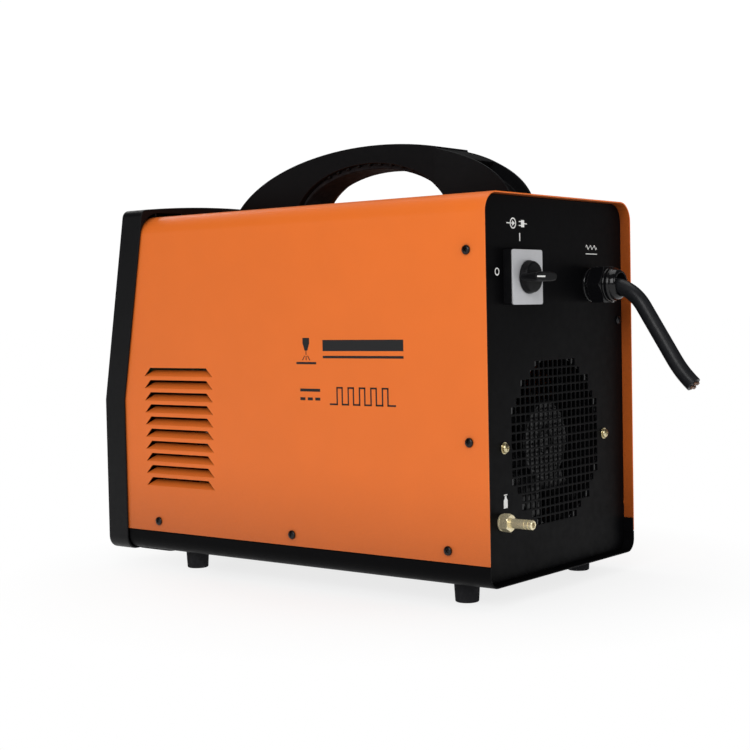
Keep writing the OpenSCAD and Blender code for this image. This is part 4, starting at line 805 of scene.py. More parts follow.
def build_handle():
    base = HANDLE_LOW.z
    half = HANDLE_HIGH.x
    tail = ellipse_between(TAIL, ellipse_ends(TAIL, base)[1], TAIL_START, 24)
    arch = ellipse_between(ARCH, TAIL_START, ellipse_ends(ARCH, base)[0], 56)
    grip = ellipse_between(GRIP, *ellipse_ends(GRIP, base), 48)
    handle = solid(tail + arch + grip, "x", -half, half)
    combine(handle, solid(handle_plan(half), "z", base - 20, HANDLE_HIGH.z + 20), "INTERSECT")
    cy, cz, a, b = TAIL
    start, end = [math.degrees(math.acos((y - cy) / (a - POCKET_DEPTH / 2))) for y in POCKET]
    floor_line = arc(cy, cz, a - POCKET_DEPTH, start, end, 16, ry=b - POCKET_DEPTH)
    sky_line = arc(cy, cz, a + 12, end, start, 16, ry=b + 12)
    inside = TAIL_HALF - POCKET_WALL
    cut(handle, prism(bmesh.new(), floor_line + sky_line, "x", -inside, inside))
    soften(handle, 1.3, 3, 30)
    gy, gz, ga, gb = GRIP
    pad_line = (gy, gz, ga, gb - GRIP_PAD)
    front, rear = ellipse_ends(pad_line, base)
    under = ellipse_between(pad_line, front, rear, 40)
    above = ellipse_between((gy, gz, ga + GRIP_PAD, gb + GRIP_PAD), rear + 4, front - 4, 40)
    pad = soften(solid(under + above, "x", -GRIP_PAD_HALF, GRIP_PAD_HALF), 1.6, 3, 60)
    ribs = bmesh.new()
    length = 2 * (half - GRIP_RIB_INSET)
    for i in range(-4, 5):
        angle = math.radians(90) - i * GRIP_RIB_PITCH / ga
        spot = (GRIP_RIB_INSET - half, gy + ga * math.cos(angle), gz + gb * math.sin(angle))
        profile = [(0, 0), (1.6, 0), (2, 0.4), (2, length - 0.4), (1.6, length), (0, length)]
        lathe(ribs, profile, spot, "x", 16)
    piece(handle, "carry_handle", "black_plastic", "handle")
    piece(pad, "carry_handle_pad", "rubber", "handle")
    piece(shape(ribs), "carry_handle_grip_ribs", "black_plastic", "handle")


# ---------- screws and feet ----------

def screw_head(bm, centre, heading, radius, height, turn=0.0, shank=6):
    """A domed pan head with a cross recess, at a surface point facing a heading."""
    dome = [(1, 0.12), (1, 0.35), (0.93, 0.62), (0.76, 0.84), (0.5, 0.97), (0, 1)]
    profile = [(0, -shank), (radius * 0.45, -shank), (radius * 0.45, 0), (radius * 0.94, 0)]
    head = turned(profile + [(radius * u, height * v) for u, v in dome], (0, 0, 0), "z", 28)
    arm, thick = radius * 0.56, radius * 0.11
    outline, corner = [], [(arm, -thick), (arm, thick), (thick, thick)]
    for _ in range(4):
        outline += corner
        corner = [(-v, u) for u, v in corner]
    cross = prism(bmesh.new(), outline, "z", height * 0.35, height * 2)
    cross.transform(Matrix.Rotation(turn, 4, "Z"))
    cut(head, cross)
    orient = Vector(heading).to_track_quat("Z", "Y").to_matrix().to_4x4()
    head.data.transform(Matrix.Translation(Vector(centre)) @ orient)
    absorb(bm, head)


CASE_SCREW_Z = 48.5          # the lower row on each side
CASE_SCREW_STEP = 178
REAR_SCREW = MIDDLE + 202    # the two at the rear of each side
REAR_SCREW_ZS = (142, 304)
PANEL_SCREW = (115, 241)     # on the rear panel
FOOT_R = 11.5


def build_screws():
    case = bmesh.new()
    count = 0
    for side in (-1, 1):
        spots = [(MIDDLE + i * CASE_SCREW_STEP, CASE_SCREW_Z) for i in (-1, 0, 1)]
        for y, z in spots + [(REAR_SCREW, z) for z in REAR_SCREW_ZS]:
            count += 1
            screw_head(case, (side * HALF_W, y, z), (side, 0, 0), 4, 2.4, count * 0.7)
        x, z = PANEL_SCREW
        screw_head(case, (side * x, PANEL_Y, z), (0, 1, 0), 4, 2.4, count * 0.5)
    piece(shape(case), "case_screw_heads", "black_screw", "case_screws", sharp=40)
    fan = bmesh.new()
    low, high = span("fan_screws")
    for side in (-1, 1):
        x, z = side * (high.x - 4.2), middle("fan_screws")[1]
        lathe(fan, [(2.4, 0), (5.0, 0), (5.2, 0.2), (5.2, 0.7), (5.0, 0.9), (2.4, 0.9)], (x, PANEL_Y, z))
        screw_head(fan, (x, PANEL_Y + 0.8, z), (0, 1, 0), 4.2, 3.0, 0.4 + side, 14)
        prism(fan, [(x + u, z + v) for u, v in hexagon(7)], "y", low.y + 1, low.y + 4)
    piece(shape(fan), "fan_screw_heads", "yellow_zinc", "fan_screws", sharp=40)


def build_feet():
    feet = bmesh.new()
    low, high = span("feet")
    profile = [(0, 1.2), (5, 1.2), (5.6, 0.2), (9.6, 0), (10.3, 0.5), (10.5, 1.4), (10.7, 5), (11.4, 16.6),
               (FOOT_R, 17.4), (11.2, high.z), (0, high.z)]
    for x in (low.x + FOOT_R, high.x - FOOT_R):
        for y in (low.y + FOOT_R, high.y - FOOT_R):
            lathe(feet, profile, (x, y, 0), "z")
    piece(shape(feet), "rubber_feet", "rubber", "feet", sharp=45)


# ---------- mains switch, gland and cable ----------

def flat_piece(node, corner_r, edge, name, slot):
    """A plate with rounded corners that fills a CAD node's box, facing the rear."""
    low, high = span(node)
    made = solid(rounded(low.x, low.z, high.x, high.z, corner_r), "y", low.y, high.y)
    piece(soften(made, edge, 2), name, slot, node)


KNOB_REACH = 17              # half length of the switch's grip
KNOB_TIP_R = 3.4
KNOB_HALF = 4.25             # half thickness of the grip


def build_switch():
    flat_piece("switch_base", 2.2, 0.5, "switch_housing", "black_plastic")
    flat_piece("switch_plate", 2.0, 0.25, "switch_face", "silver_plate")
    x, z = middle("switch_plate")
    low, high = span("switch_knob")
    skirt = [(0, 0), (14.2, 0), (14.5, 0.3), (14.5, 1.6), (14.1, 2.2), (13.5, 5.4), (12.9, 6.3),
             (11.8, 6.6), (0, 6.6)]
    knob = turned(skirt, (x, low.y, z))
    side = []
    for way in (1, -1):
        turn = 0 if way > 0 else 180
        side += arc(x + way * (KNOB_REACH - KNOB_TIP_R), z, KNOB_TIP_R, turn - 80, turn + 80, 8)
        side += [(x + way * 7, z + way * KNOB_HALF), (x - way * 7, z + way * KNOB_HALF)]
    combine(knob, soften(solid(side, "y", low.y + 2.4, high.y), 1.1, 4, 50), "UNION")
    cut(knob, box(bmesh.new(), (x + 2, high.y - 0.5, z - 0.8), (x + 15.4, high.y + 1, z + 0.8)))
    soften(knob, 0.18, 2, 50)
    piece(knob, "switch_handle", "black_plastic", "switch_knob", body="switch_rotor")
    line = box(bmesh.new(), (x + 2.1, high.y - 0.52, z - 0.7), (x + 15.3, high.y - 0.15, z + 0.7))
    piece(shape(line), "switch_handle_line", "white_plastic", body="switch_rotor", ink=WHITE_INK)


GLAND_LOW, GLAND_HIGH = span("gland_dome_nut")
GLAND_X, GLAND_Z = middle("gland_dome_nut")
GLAND_AF = GLAND_HIGH.z - GLAND_LOW.z


GLAND_BORE_R = 8.2
NUT_BORE_R = 13.1
NUT_HEX = 14.5               # length of the dome nut's hexagon


def gland_hexagon(across, start, length, corner_r):
    """A hexagon of the gland with its corners turned off at both faces."""
    profile = [(0, 0), (corner_r - 2, 0), (corner_r, 1.2), (corner_r, length - 1.2), (corner_r - 2, length),
               (0, length)]
    return turned_hexagon(across, 0, (GLAND_X, start, GLAND_Z), 0, length, profile, 0.35)


def build_gland():
    centre = (GLAND_X, PANEL_Y, GLAND_Z)
    back = span("gland_body")[0].y - PANEL_Y
    r = GLAND_BORE_R
    tube = bmesh.new()
    lathe(tube, [(r, 0.02), (15.1, 0.02), (15.6, 0.5), (15.6, 2), (15.1, 2.5), (r, 2.5)], centre)
    lathe(tube, [(r, back), (12.4, back), (12.4, 0.5), (r, 0.5)], centre)
    lathe(tube, [(r, 5.5), (13, 5.5), (13, 20.6), (r, 20.6)], centre)
    body = gland_hexagon(GLAND_AF - 5, PANEL_Y + 2.2, 3.8, 16.1)
    cut(body, lathe(bmesh.new(), [(0, 0), (r, 0), (r, 12), (0, 12)], centre))
    piece(shape(tube), "gland_tube", "gloss_black", "gland_body", sharp=35)
    piece(body, "gland_body_hexagon", "gloss_black", "gland_body", sharp=35)

    start = GLAND_LOW.y
    length = GLAND_HIGH.y - start
    centre = (GLAND_X, start, GLAND_Z)
    nut = gland_hexagon(GLAND_AF, start, NUT_HEX, 18.8)
    bore = [(0, -1), (NUT_BORE_R, -1), (NUT_BORE_R, 15.2), (8.4, 15.2), (8.4, length + 1), (0, length + 1)]
    cut(nut, lathe(bmesh.new(), bore, centre))
    piece(nut, "gland_nut_hexagon", "gloss_black", "gland_dome_nut", sharp=35)
    # the dome: a waist behind the hexagon, a round shoulder and a flared mouth
    dome = [(NUT_BORE_R, 12), (15.4, 12), (15.8, 14.4), (15.8, 15.6), (15.3, 16.2), (15.6, 17.0),
            (15.6, 19.0), (15.3, 19.6), (14.7, 20.2), (14.6, 21.4), (14.0, 23.4), (13.2, 25.0),
            (12.3, 26.1), (11.6, length), (10.9, length - 0.1), (8.5, 17.6), (8.4, 15.2),
            (NUT_BORE_R, 15.2)]
    dome = shape(turned_ring(bmesh.new(), dome, centre))
    piece(dome, "gland_nut_dome", "gloss_black", "gland_dome_nut", sharp=45)


CABLE_R = 7.25
BEND = (44, 58)              # radius and angle of the cable's fall
LIFT = (103, 15)             # radius and angle of its easing
CABLE_RUN = 57
CABLE_INSIDE = 11.5          # how far the jacket reaches in behind the panel's face
CABLE_START = PANEL_Y + 18


def cable_path():
    """Points along the mains cable, as (y, z): straight, a bend down, a slanting run and an easing bend."""
    y, z = CABLE_START, GLAND_Z
    straight = CABLE_START - PANEL_Y + CABLE_INSIDE
    points = [(y - straight * (1 - i / 8), z) for i in range(8)]
    r, angle = BEND
    fall = math.radians(angle)
    points += [(y + r * math.sin(fall * i / 20), z - r * (1 - math.cos(fall * i / 20))) for i in range(21)]
    y, z = points[-1]
    for i in range(1, 13):
        points.append((y + CABLE_RUN * i / 12 * math.cos(fall), z - CABLE_RUN * i / 12 * math.sin(fall)))
    y, z = points[-1]
    r, angle = LIFT
    for i in range(1, 11):
        now = fall - math.radians(angle) * i / 10
        points.append((y + r * (math.sin(fall) - math.sin(now)), z - r * (math.cos(now) - math.cos(fall))))
    y, z = points[-1]
    return points + [(y + d * math.cos(now), z - d * math.sin(now)) for d in (1, 2, 2.6)]


def build_cable():
    path = [(GLAND_X, y, z) for y, z in cable_path()]
    cable = shape(sweep(bmesh.new(), path, CABLE_R, 40))
    piece(soften(cable, 0.5, 2, 60), "mains_cable_jacket", "cable_jacket", "mains_cable", sharp=60)


INLET_R = 4.2
BARB_R = 3.8                 # the hose grooves near the inlet's end


def build_gas_inlet():
    x, z = middle("gas_inlet_fitting")
    profile = [(0, 0), (7.2, 0), (8.06, 0.8), (8.06, 7.2), (7.0, 8), (0, 8)]
    hexa = turned_hexagon(14, 30, (x, PANEL_Y + 1.5, z), 0, 8, profile, 0.2)
    piece(hexa, "gas_inlet_hexagon", "brass", "gas_inlet_fitting", sharp=35)
    end = span("gas_inlet_fitting")[1].y - PANEL_Y
    profile = [(2.4, -32), (4, -32), (4, -9), (5.5, -9), (5.5, 0), (7.4, 0.02), (7.4, 1.3), (7.1, 1.6),
               (INLET_R, 1.6), (INLET_R, end - 9)]
    for groove in (end - 8, end - 4):
        profile += [(INLET_R, groove), (BARB_R, groove), (BARB_R, groove + 1), (INLET_R, groove + 1)]
    profile += [(INLET_R, end - 1), (3.3, end), (2.7, end), (2.4, end - 0.4)]
    tube = turned_ring(bmesh.new(), profile, (x, PANEL_Y, z))
    piece(shape(tube), "gas_inlet_tube", "brass", "gas_inlet_fitting", sharp=30)


HUB_R = 37
BLADE_COUNT = 7
BLADE_ROOT, BLADE_TIP = 35.5, 73
BLADE_T = 1.5
BLADE_STEPS = 6


def blade_points(turn, face):
    """A grid of points over a twisted blade, from root to tip and across."""
    for r_step in range(BLADE_STEPS + 1):
        share = r_step / BLADE_STEPS
        radius = BLADE_ROOT + (BLADE_TIP - BLADE_ROOT) * share
        pitch = math.radians(42 - 14 * share)
        row = []
        for c_step in range(BLADE_STEPS + 1):
            t = c_step / BLADE_STEPS * 2 - 1
            depth = 13.2 * t * math.sin(pitch) + 1.6 * (1 - t * t)
            angle = turn + 15 * t * math.cos(pitch) / radius + math.radians(2 * r_step)
            row.append((radius * math.sin(angle), face - 11.5 + depth, GRILLE_Z + radius * math.cos(angle)))
        yield row


def add_blade(bm, turn, face):
    grid = list(blade_points(turn, face))
    front = [[bm.verts.new(point) for point in row] for row in grid]
    back = [[bm.verts.new((x, y - BLADE_T, z)) for x, y, z in row] for row in grid]
    steps = range(BLADE_STEPS)
    for a in steps:
        for b in steps:
            bm.faces.new((front[a][b], front[a + 1][b], front[a + 1][b + 1], front[a][b + 1]))
            bm.faces.new((back[a][b], back[a][b + 1], back[a + 1][b + 1], back[a + 1][b]))
    last = BLADE_STEPS
    rim = ([(k, 0) for k in steps] + [(last, k) for k in steps]
           + [(last - k, last) for k in steps] + [(0, last - k) for k in steps])
    for (a, b), (c, d) in zip(rim, rim[1:] + rim[:1]):
        bm.faces.new((front[a][b], front[c][d], back[c][d], back[a][b]))


def build_fan():
    face = span("fan_rotor")[1].y - 1.2
    rotor = bmesh.new()
    hub = [(0, -16), (32.5, -16), (32.5, -22), (36.2, -22), (HUB_R, -21.4), (HUB_R, -2.2), (36.4, -0.8),
           (34.8, 0), (33.2, 0), (32.8, -0.5), (13, -0.5), (12.4, 0.9), (11.6, 1.2), (9.1, 1.2),
           (8.5, 0.8), (8.3, -0.9), (0, -0.9)]
    lathe(rotor, hub, (0, face, GRILLE_Z), "y", 96)
    for i in range(BLADE_COUNT):
        add_blade(rotor, 2 * math.pi * i / BLADE_COUNT, face)
    piece(shape(rotor), "fan_wheel_visible", "fan_black", "fan_rotor", body="fan_impeller", sharp=40)


# ---------- front ----------

PLATE_W = -(WEB_BACK * math.cos(LEAN) + 0.05)    # outer face of the control panel, from the front line
OVERLAY_W = PLATE_W + 0.82   # outer face of its overlay
OVERLAY = (102.5, 74.5)      # half sizes
DISPLAY = (0, 44, 64, 26)    # centre and size
BUTTONS = {"process": -82, "trigger": -58, "pulse": -34, "gas_test": -10, "select": 14}
BUTTON_V = -42
BUTTON_R = 5.5
DIAL = (62, -38)
DIAL_R = 15
LED_R = 1.5
LED_COLUMNS = (-86, -58, 58, 86)
SOCKET_X = 72
SOCKET_Z = 78
SOCKET_FACE = BEZEL_LOW.y + WEB_BACK + 0.05
SOCKET_R = 6.55
SOCKET_OUT = 9               # how far the sockets stand out of the bezel's foot
COLLAR_BORE_R = 10.1
OUTLET_Z = 71
CONNECTOR_Z = 120
SLOPE_SCREW = (107, 79)      # the control panel's screws, from its middle
FOOT_SCREW_X = 110.5         # the output panel's screws
FOOT_SCREW_ZS = (33, 161)


def slope():
    """From the panel's own axes (across, up the slope, outwards) to the frame."""
    across, outwards = Vector((1, 0, 0)), Vector((0, -math.cos(LEAN), math.sin(LEAN)))
    turn = Matrix((across, outwards.cross(across), outwards)).transposed().to_4x4()
    return Matrix.Translation((0, front_y(SLOPE_MID), SLOPE_MID)) @ turn


def on_slope(bm):
    bm.transform(slope())
    return bm


def led_places():
    columns = [(x, DISPLAY[1] + j * 9) for x in LED_COLUMNS for j in (-1, 0, 1)]
    return columns + [(i * 19, 8) for i in range(-4, 5)]


def build_control_panel():
    x, v, w, h = DISPLAY
    holes = [rounded(x - w / 2, v - h / 2, x + w / 2, v + h / 2, 1.0, 3), arc(*DIAL, 3.7, 0, 345, 23)]
    holes += [arc(a, b, LED_R + 0.08, 0, 330, 11) for a, b in led_places()]
    holes += [arc(a, BUTTON_V, BUTTON_R + 0.25, 0, 348, 29) for a in BUTTONS.values()]
    half_w, half_v = OVERLAY
    overlay = plate(rounded(-half_w, -half_v, half_w, half_v, 3), holes, 0.8, 0.15)
    overlay.data.transform(slope() @ Matrix.Translation((0, 0, OVERLAY_W - 0.4)))
    piece(overlay, "front_overlay", "overlay_film", "panel_overlay", sharp=40)

    half_w, half_v = w / 2 - 0.2, h / 2 - 0.2
    glass = rounded(x - half_w, v - half_v, x + half_w, v + half_v, 0.9, 3)
    lens = prism(bmesh.new(), glass, "z", PLATE_W - 1.8, OVERLAY_W - 0.15)
    piece(soften(shape(on_slope(lens)), 0.3, 2), "display_lens", "red_lens", "display_window")

    lamps = bmesh.new()
    back, face = PLATE_W - 3, OVERLAY_W
    profile = [(0, back), (LED_R, back), (LED_R, face - 0.3), (1.25, face + 0.1), (0.75, face + 0.3),
               (0, face + 0.38)]
    for a, b in led_places():
        lathe(lamps, profile, (a, b, 0), "z", 20)
    piece(shape(on_slope(lamps)), "indicator_lamps", "led_green", sharp=40)

    back, r = PLATE_W - 1, BUTTON_R
    profile = [(0, back), (r, back), (r, face + 1.0), (r - 0.25, face + 1.4), (r - 0.8, face + 1.6),
               (3, face + 1.35), (0, face + 1.2)]
    for name, a in BUTTONS.items():
        cap = lathe(bmesh.new(), profile, (a, BUTTON_V, 0), "z", 48)
        piece(shape(on_slope(cap)), name + "_button_cap", "button_grey", body=name + "_button", sharp=45)


def build_dial():
    base, top, r = OVERLAY_W + 0.5, OVERLAY_W + 13.5, DIAL_R
    on_panel = slope() @ Matrix.Translation((DIAL[0], DIAL[1], 0))
    profile = [(0, base), (r - 0.2, base), (r, base + 0.3), (r, base + 2), (r - 0.5, base + 2.5),
               (13.5, base + 2.7), (12.8, top - 1.2), (12.0, top - 0.3), (11.2, top), (10.4, top),
               (9.8, top - 0.5), (0, top - 0.5)]
    knob = turned(profile, (0, 0, 0), "z", 96)
    flutes = bmesh.new()
    for i in range(18):
        angle = math.radians(20 * i)
        spot = (13.9 * math.cos(angle), 13.9 * math.sin(angle), 0)
        lathe(flutes, [(0, base + 3), (0.9, base + 3), (0.9, top + 1), (0, top + 1)], spot, "z", 14)
    cut(knob, flutes)
    cut(knob, box(bmesh.new(), (-0.6, 4, top - 0.9), (0.6, 20, top + 1)))
    soften(knob, 0.15, 1, 45)
    knob.data.transform(on_panel)
    piece(knob, "current_dial", "black_plastic", "encoder_knob", body="current_knob", sharp=40)
    line = box(bmesh.new(), (-0.5, 4.1, top - 0.88), (0.5, 12.3, top - 0.6))
    line.transform(on_panel)
    piece(shape(line), "current_dial_line", "white_plastic", body="current_knob", ink=WHITE_INK)


def build_sockets():
    shells, inserts = bmesh.new(), bmesh.new()
    front = BEZEL_LOW.y - SOCKET_OUT
    reach = SOCKET_FACE - front
    start = 1.5 - reach
    collar = [(COLLAR_BORE_R, -reach), (15.6, -reach), (16.6, 0.4 - reach), (17, 1.4 - reach), (17, -3.2),
              (17.4, -2.8), (20.2, -2.6), (21, -2.0), (21, -0.05), (14, -0.05), (14, 26),
              (COLLAR_BORE_R, 26)]
    contact = [(SOCKET_R, start + 0.5), (7.05, start), (9.5, start), (9.95, start + 0.5),
               (9.95, start + 42), (5, start + 42), (5, start + 58), (0, start + 58), (0, start + 34),
               (SOCKET_R, start + 34)]
    ridge = [(0, 2.5 - reach), (0.55, 2.5 - reach), (0.55, -4), (0, -4)]
    for side in (-1, 1):
        x = side * SOCKET_X
        for i in range(24):
            angle = math.radians(15 * i)
            u, v = 16.95 * math.cos(angle), 16.95 * math.sin(angle)
            lathe(shells, ridge, (x + u, SOCKET_FACE, SOCKET_Z + v), "y", 10)
        turned_ring(shells, collar, (x, SOCKET_FACE, SOCKET_Z), "y", 72)
        insert = shape(turned_ring(bmesh.new(), contact, (x, SOCKET_FACE, SOCKET_Z)))
        keyway = box(bmesh.new(), (x - 1.3, front, SOCKET_Z + 2), (x + 1.3, front + 13.5, SOCKET_Z + 8.1))
        absorb(inserts, cut(insert, keyway))
    piece(shape(shells), "output_socket_collars", "gloss_black", "output_socket_shells", sharp=40)
    piece(shape(inserts), "output_socket_contacts", "brass", "output_socket_inserts", sharp=40)


def build_gas_outlet():
    centre = (0, SOCKET_FACE, OUTLET_Z)
    nipple = BEZEL_LOW.y - 11 - SOCKET_FACE
    profile = [(2, nipple + 0.4), (2.4, nipple), (4.2, nipple), (4.8, nipple + 0.8), (4.8, -5), (5, -5),
               (5, 9), (4, 9), (4, 26), (2, 26)]
    tube = turned_ring(bmesh.new(), profile, centre, "y", 48)
    piece(shape(tube), "torch_gas_tube", "brass", "torch_gas_outlet", sharp=35)
    profile = [(0, -5.2), (7.4, -5.2), (8.5, -4.4), (8.5, 0), (0, 0)]
    nut = turned_hexagon(15, 0, centre, -5.05, -0.05, profile, 0.2)
    piece(nut, "torch_gas_hexagon", "brass", "torch_gas_outlet", sharp=35)


def build_connector():
    centre = (0, SOCKET_FACE, CONNECTOR_Z)
    front = BEZEL_LOW.y - 8 - SOCKET_FACE
    profile = [(6.6, front + 0.2), (6.9, front), (7.7, front), (8, front + 0.3), (8, -2.1), (11.6, -2),
               (12, -1.6), (12, -0.05), (8, -0.05), (8, 14), (6.6, 14)]
    shell = turned_ring(bmesh.new(), profile, centre)
    for i in range(6):
        ridge = front + 1.2 + i * 1.3
        washer(shell, centre, "y", 7.6, 8.25, ridge, ridge + 0.6, 64)
    piece(shape(shell), "torch_connector_barrel", "steel", "torch_connector_shell", sharp=35)
    core = turned([(0, 0.4), (6.0, 0.4), (6.5, 0), (6.5, 14), (0, 14)], centre, "y", 48)
    piece(core, "torch_connector_core", "gloss_black", "torch_connector_insert", sharp=40)
    pins = bmesh.new()
    pin = [(0, front + 4), (0.5, front + 4.1), (0.8, front + 4.6), (0.8, 0.5), (0, 0.5)]
    for i in range(5):
        angle = math.radians(72 * i)
        spot = (4 * math.cos(angle), SOCKET_FACE, CONNECTOR_Z + 4 * math.sin(angle))
        lathe(pins, pin, spot, "y", 16)
    piece(shape(pins), "torch_connector_pins", "brass", "torch_connector_insert", sharp=40)


def build_front_screws():
    screws = bmesh.new()
    out = slope()
    outwards = out.to_3x3() @ Vector((0, 0, 1))
    corners = [(-1, 0), (1, 0), (-1, 1), (1, 1)]
    for i, (side, row) in enumerate(corners):
        spot = (side * SLOPE_SCREW[0], (2 * row - 1) * SLOPE_SCREW[1], -WEB_FRONT * math.cos(LEAN))
        screw_head(screws, out @ Vector(spot), outwards, 2.8, 1.8, 0.4 * i)
    for i, (side, row) in enumerate(corners):
        spot = (side * FOOT_SCREW_X, BEZEL_LOW.y + WEB_FRONT, FOOT_SCREW_ZS[row])
        screw_head(screws, spot, (0, -1, 0), 2.8, 1.8, 0.3 * i)
    piece(shape(screws), "front_screw_heads", "black_screw", "front_panel_screws", sharp=40)


# ---------- printed marks: generic signs only ----------

INK = 0.08                   # thickness of printed ink


def build_rear_marks():
    marks = bmesh.new()

    def area(*points):
        prism(marks, points, "y", PANEL_Y, PANEL_Y + INK)

    def line(width, *points):
        stroke(marks, points, width, "y", PANEL_Y, PANEL_Y + INK)

    # off, a lead into a supply, a plug with two pins, and on
    washer(marks, (91.6, PANEL_Y, 285.7), "y", 2.4, 3.4, 0, INK)
    washer(marks, (65.7, PANEL_Y, 327.7), "y", 3.7, 4.8, 0, INK)
    line(0.9, (76, 327.7), (66.5, 327.7))
    area((66.9, 330.1), (62.7, 327.7), (66.9, 325.3))
    area((48, 324.6), (53, 324.6), (53, 330.8), (48, 330.8))
    for z in (326.0, 329.4):
        line(0.9, (53, z), (56.5, z))
    line(0.9, (48, 327.7), (43.5, 327.7))
    line(1.3, (55.3, 312.6), (55.3, 319.4))
    # three waves over a line: three-phase supply
    for i in range(3):
        line(0.8, *[(-57 - i * 7 - t * 0.6, 309.5 + 1.9 * math.sin(t * math.pi / 4.5)) for t in range(10)])
    line(0.8, (-56.5, 303.4), (-77, 303.4))
    # a gas bottle: body, shoulder and valve
    area((81, 82.5), (87, 82.5), (87, 89.4), (85.4, 91.2), (85.4, 93), (82.6, 93), (82.6, 91.2), (81, 89.4))
    line(0.9, (81.4, 94), (86.6, 94))
    piece(shape(marks), "rear_marks", "white_plastic", ink=WHITE_INK)


def side_marks(bm, side):
    """Plain signs on one side, drawn about a place behind the cover's middle."""
    low, high = (HALF_W, HALF_W + INK) if side > 0 else (-HALF_W - INK, -HALF_W)

    def area(*points):
        prism(bm, [(MIDDLE + 72 + side * y, z) for y, z in points], "x", low, high)

    def bar(y0, z0, y1, z1):
        area((y0, z0), (y1, z0), (y1, z1), (y0, z1))

    # a torch over a seam, with its arc
    area((-54, 231), (-46, 231), (-46, 226), (-48.4, 219.5), (-51.6, 219.5), (-54, 226))
    bar(-50.4, 215.6, -49.6, 219.5)
    for lean in (-1, 0, 1):
        ray = [(MIDDLE + 72 + side * (-50 + lean * out), z) for out, z in ((1.8, 214.6), (4.4, 210.6))]
        stroke(bm, ray, 0.8, "x", low, high)
    bar(-62, 207, -38, 209)
    # two plain stripes
    bar(-30, 219, 62, 229)
    bar(-30, 212.5, 62, 214.7)
    # direct current: a line over three dashes
    bar(-58, 182, -34, 184.6)
    for y in (-58, -49, -40):
        bar(y, 174, y + 6, 176.6)
    # a pulsed current's square wave
    wave = [(-22, 171)]
    for y in range(-14, 51, 13):
        wave += [(y, 171), (y, 186), (y + 6, 186), (y + 6, 171)]
    wave.append((52, 171))
    half = 0.75
    for (y0, z0), (y1, z1) in zip(wave, wave[1:]):
        bar(min(y0, y1) - half, min(z0, z1) - half, max(y0, y1) + half, max(z0, z1) + half)


def build_side_marks():
    marks = bmesh.new()
    side_marks(marks, 1)
    side_marks(marks, -1)
    piece(shape(marks), "side_marks", "black_screw", ink=BLACK_INK)


def build_front_marks():
    marks = bmesh.new()
    low, high = OVERLAY_W, OVERLAY_W + INK

    def line(*points, width=0.7):
        stroke(marks, points, width, "z", low, high)

    _, v, w, h = DISPLAY
    reach_x, low_v, high_v = w / 2 + 3, v - h / 2 - 3, v + h / 2 + 3
    frame_line = [(-reach_x, low_v), (reach_x, low_v), (reach_x, high_v), (-reach_x, high_v),
                  (-reach_x, low_v)]
    for first, second in zip(frame_line, frame_line[1:]):
        line(first, second)
    for i in range(11):
        angle = math.radians(225 - 27 * i)
        reaches = (DIAL_R + 2, DIAL_R + (5.5 if i % 5 == 0 else 4))
        line(*[(DIAL[0] + r * math.cos(angle), DIAL[1] + r * math.sin(angle)) for r in reaches])
    for a in BUTTONS.values():
        line((a - 4, BUTTON_V + 9), (a + 4, BUTTON_V + 9), width=0.9)
        washer(marks, (a, BUTTON_V, 0), "z", BUTTON_R + 1.1, BUTTON_R + 1.6, low, high)
    for a, b in led_places()[:12]:
        reach = -4 if a < 0 else 4
        line((a + reach, b), (a + 2.6 * reach, b), width=0.9)
    # a welding cycle: rise, hold and fall, over the row of lamps
    cycle = [(-84, -2), (-72, -2), (-58, 3.2), (58, 3.2), (72, -2), (84, -2)]
    for first, second in zip(cycle, cycle[1:]):
        line(first, second)
    for height in (-20, 66):
        line((-95, height), (95, height), width=0.4)
    piece(shape(on_slope(marks)), "front_marks", "white_plastic", ink=GREY_INK)
    # plus, minus and a gas bottle by the sockets
    signs = bmesh.new()
    bars = [(1.4, (side * SOCKET_X - 3.5, 48), (side * SOCKET_X + 3.5, 48)) for side in (1, -1)]
    bars += [(1.4, (SOCKET_X, z), (SOCKET_X, z + 2.8)) for z in (44.5, 48.7)]
    for width, *points in bars:
        stroke(signs, points, width, "y", SOCKET_FACE - INK, SOCKET_FACE)
    bottle = [(-2.2, 50), (2.2, 50), (2.2, 56), (1, 57.4), (-1, 57.4), (-2.2, 56)]
    prism(signs, bottle, "y", SOCKET_FACE - INK, SOCKET_FACE)
    piece(shape(signs), "socket_marks", "white_plastic", ink=WHITE_INK)


build_cover()
build_base_pan()
build_rear_panel()
build_bezel()
build_handle()
build_screws()
build_feet()
build_switch()
build_gland()
build_cable()
build_gas_inlet()
build_fan()
build_control_panel()
build_dial()
build_sockets()
build_gas_outlet()
build_connector()
build_front_screws()
build_rear_marks()
build_side_marks()
build_front_marks()


# ---------- materials of the CAD nodes that stay ----------

for part in frame["record"]["subparts"]:
    node = frame["nodes"][part["node"]]
    node.data.materials.clear()
    node.data.materials.append(MATERIALS[part["material_slot"]])


# ---------- stage, light and camera ----------

FLOOR_HALF = 30000
FADE = (0.18, 0.40)          # metres from the middle where the floor starts and ends fading to white


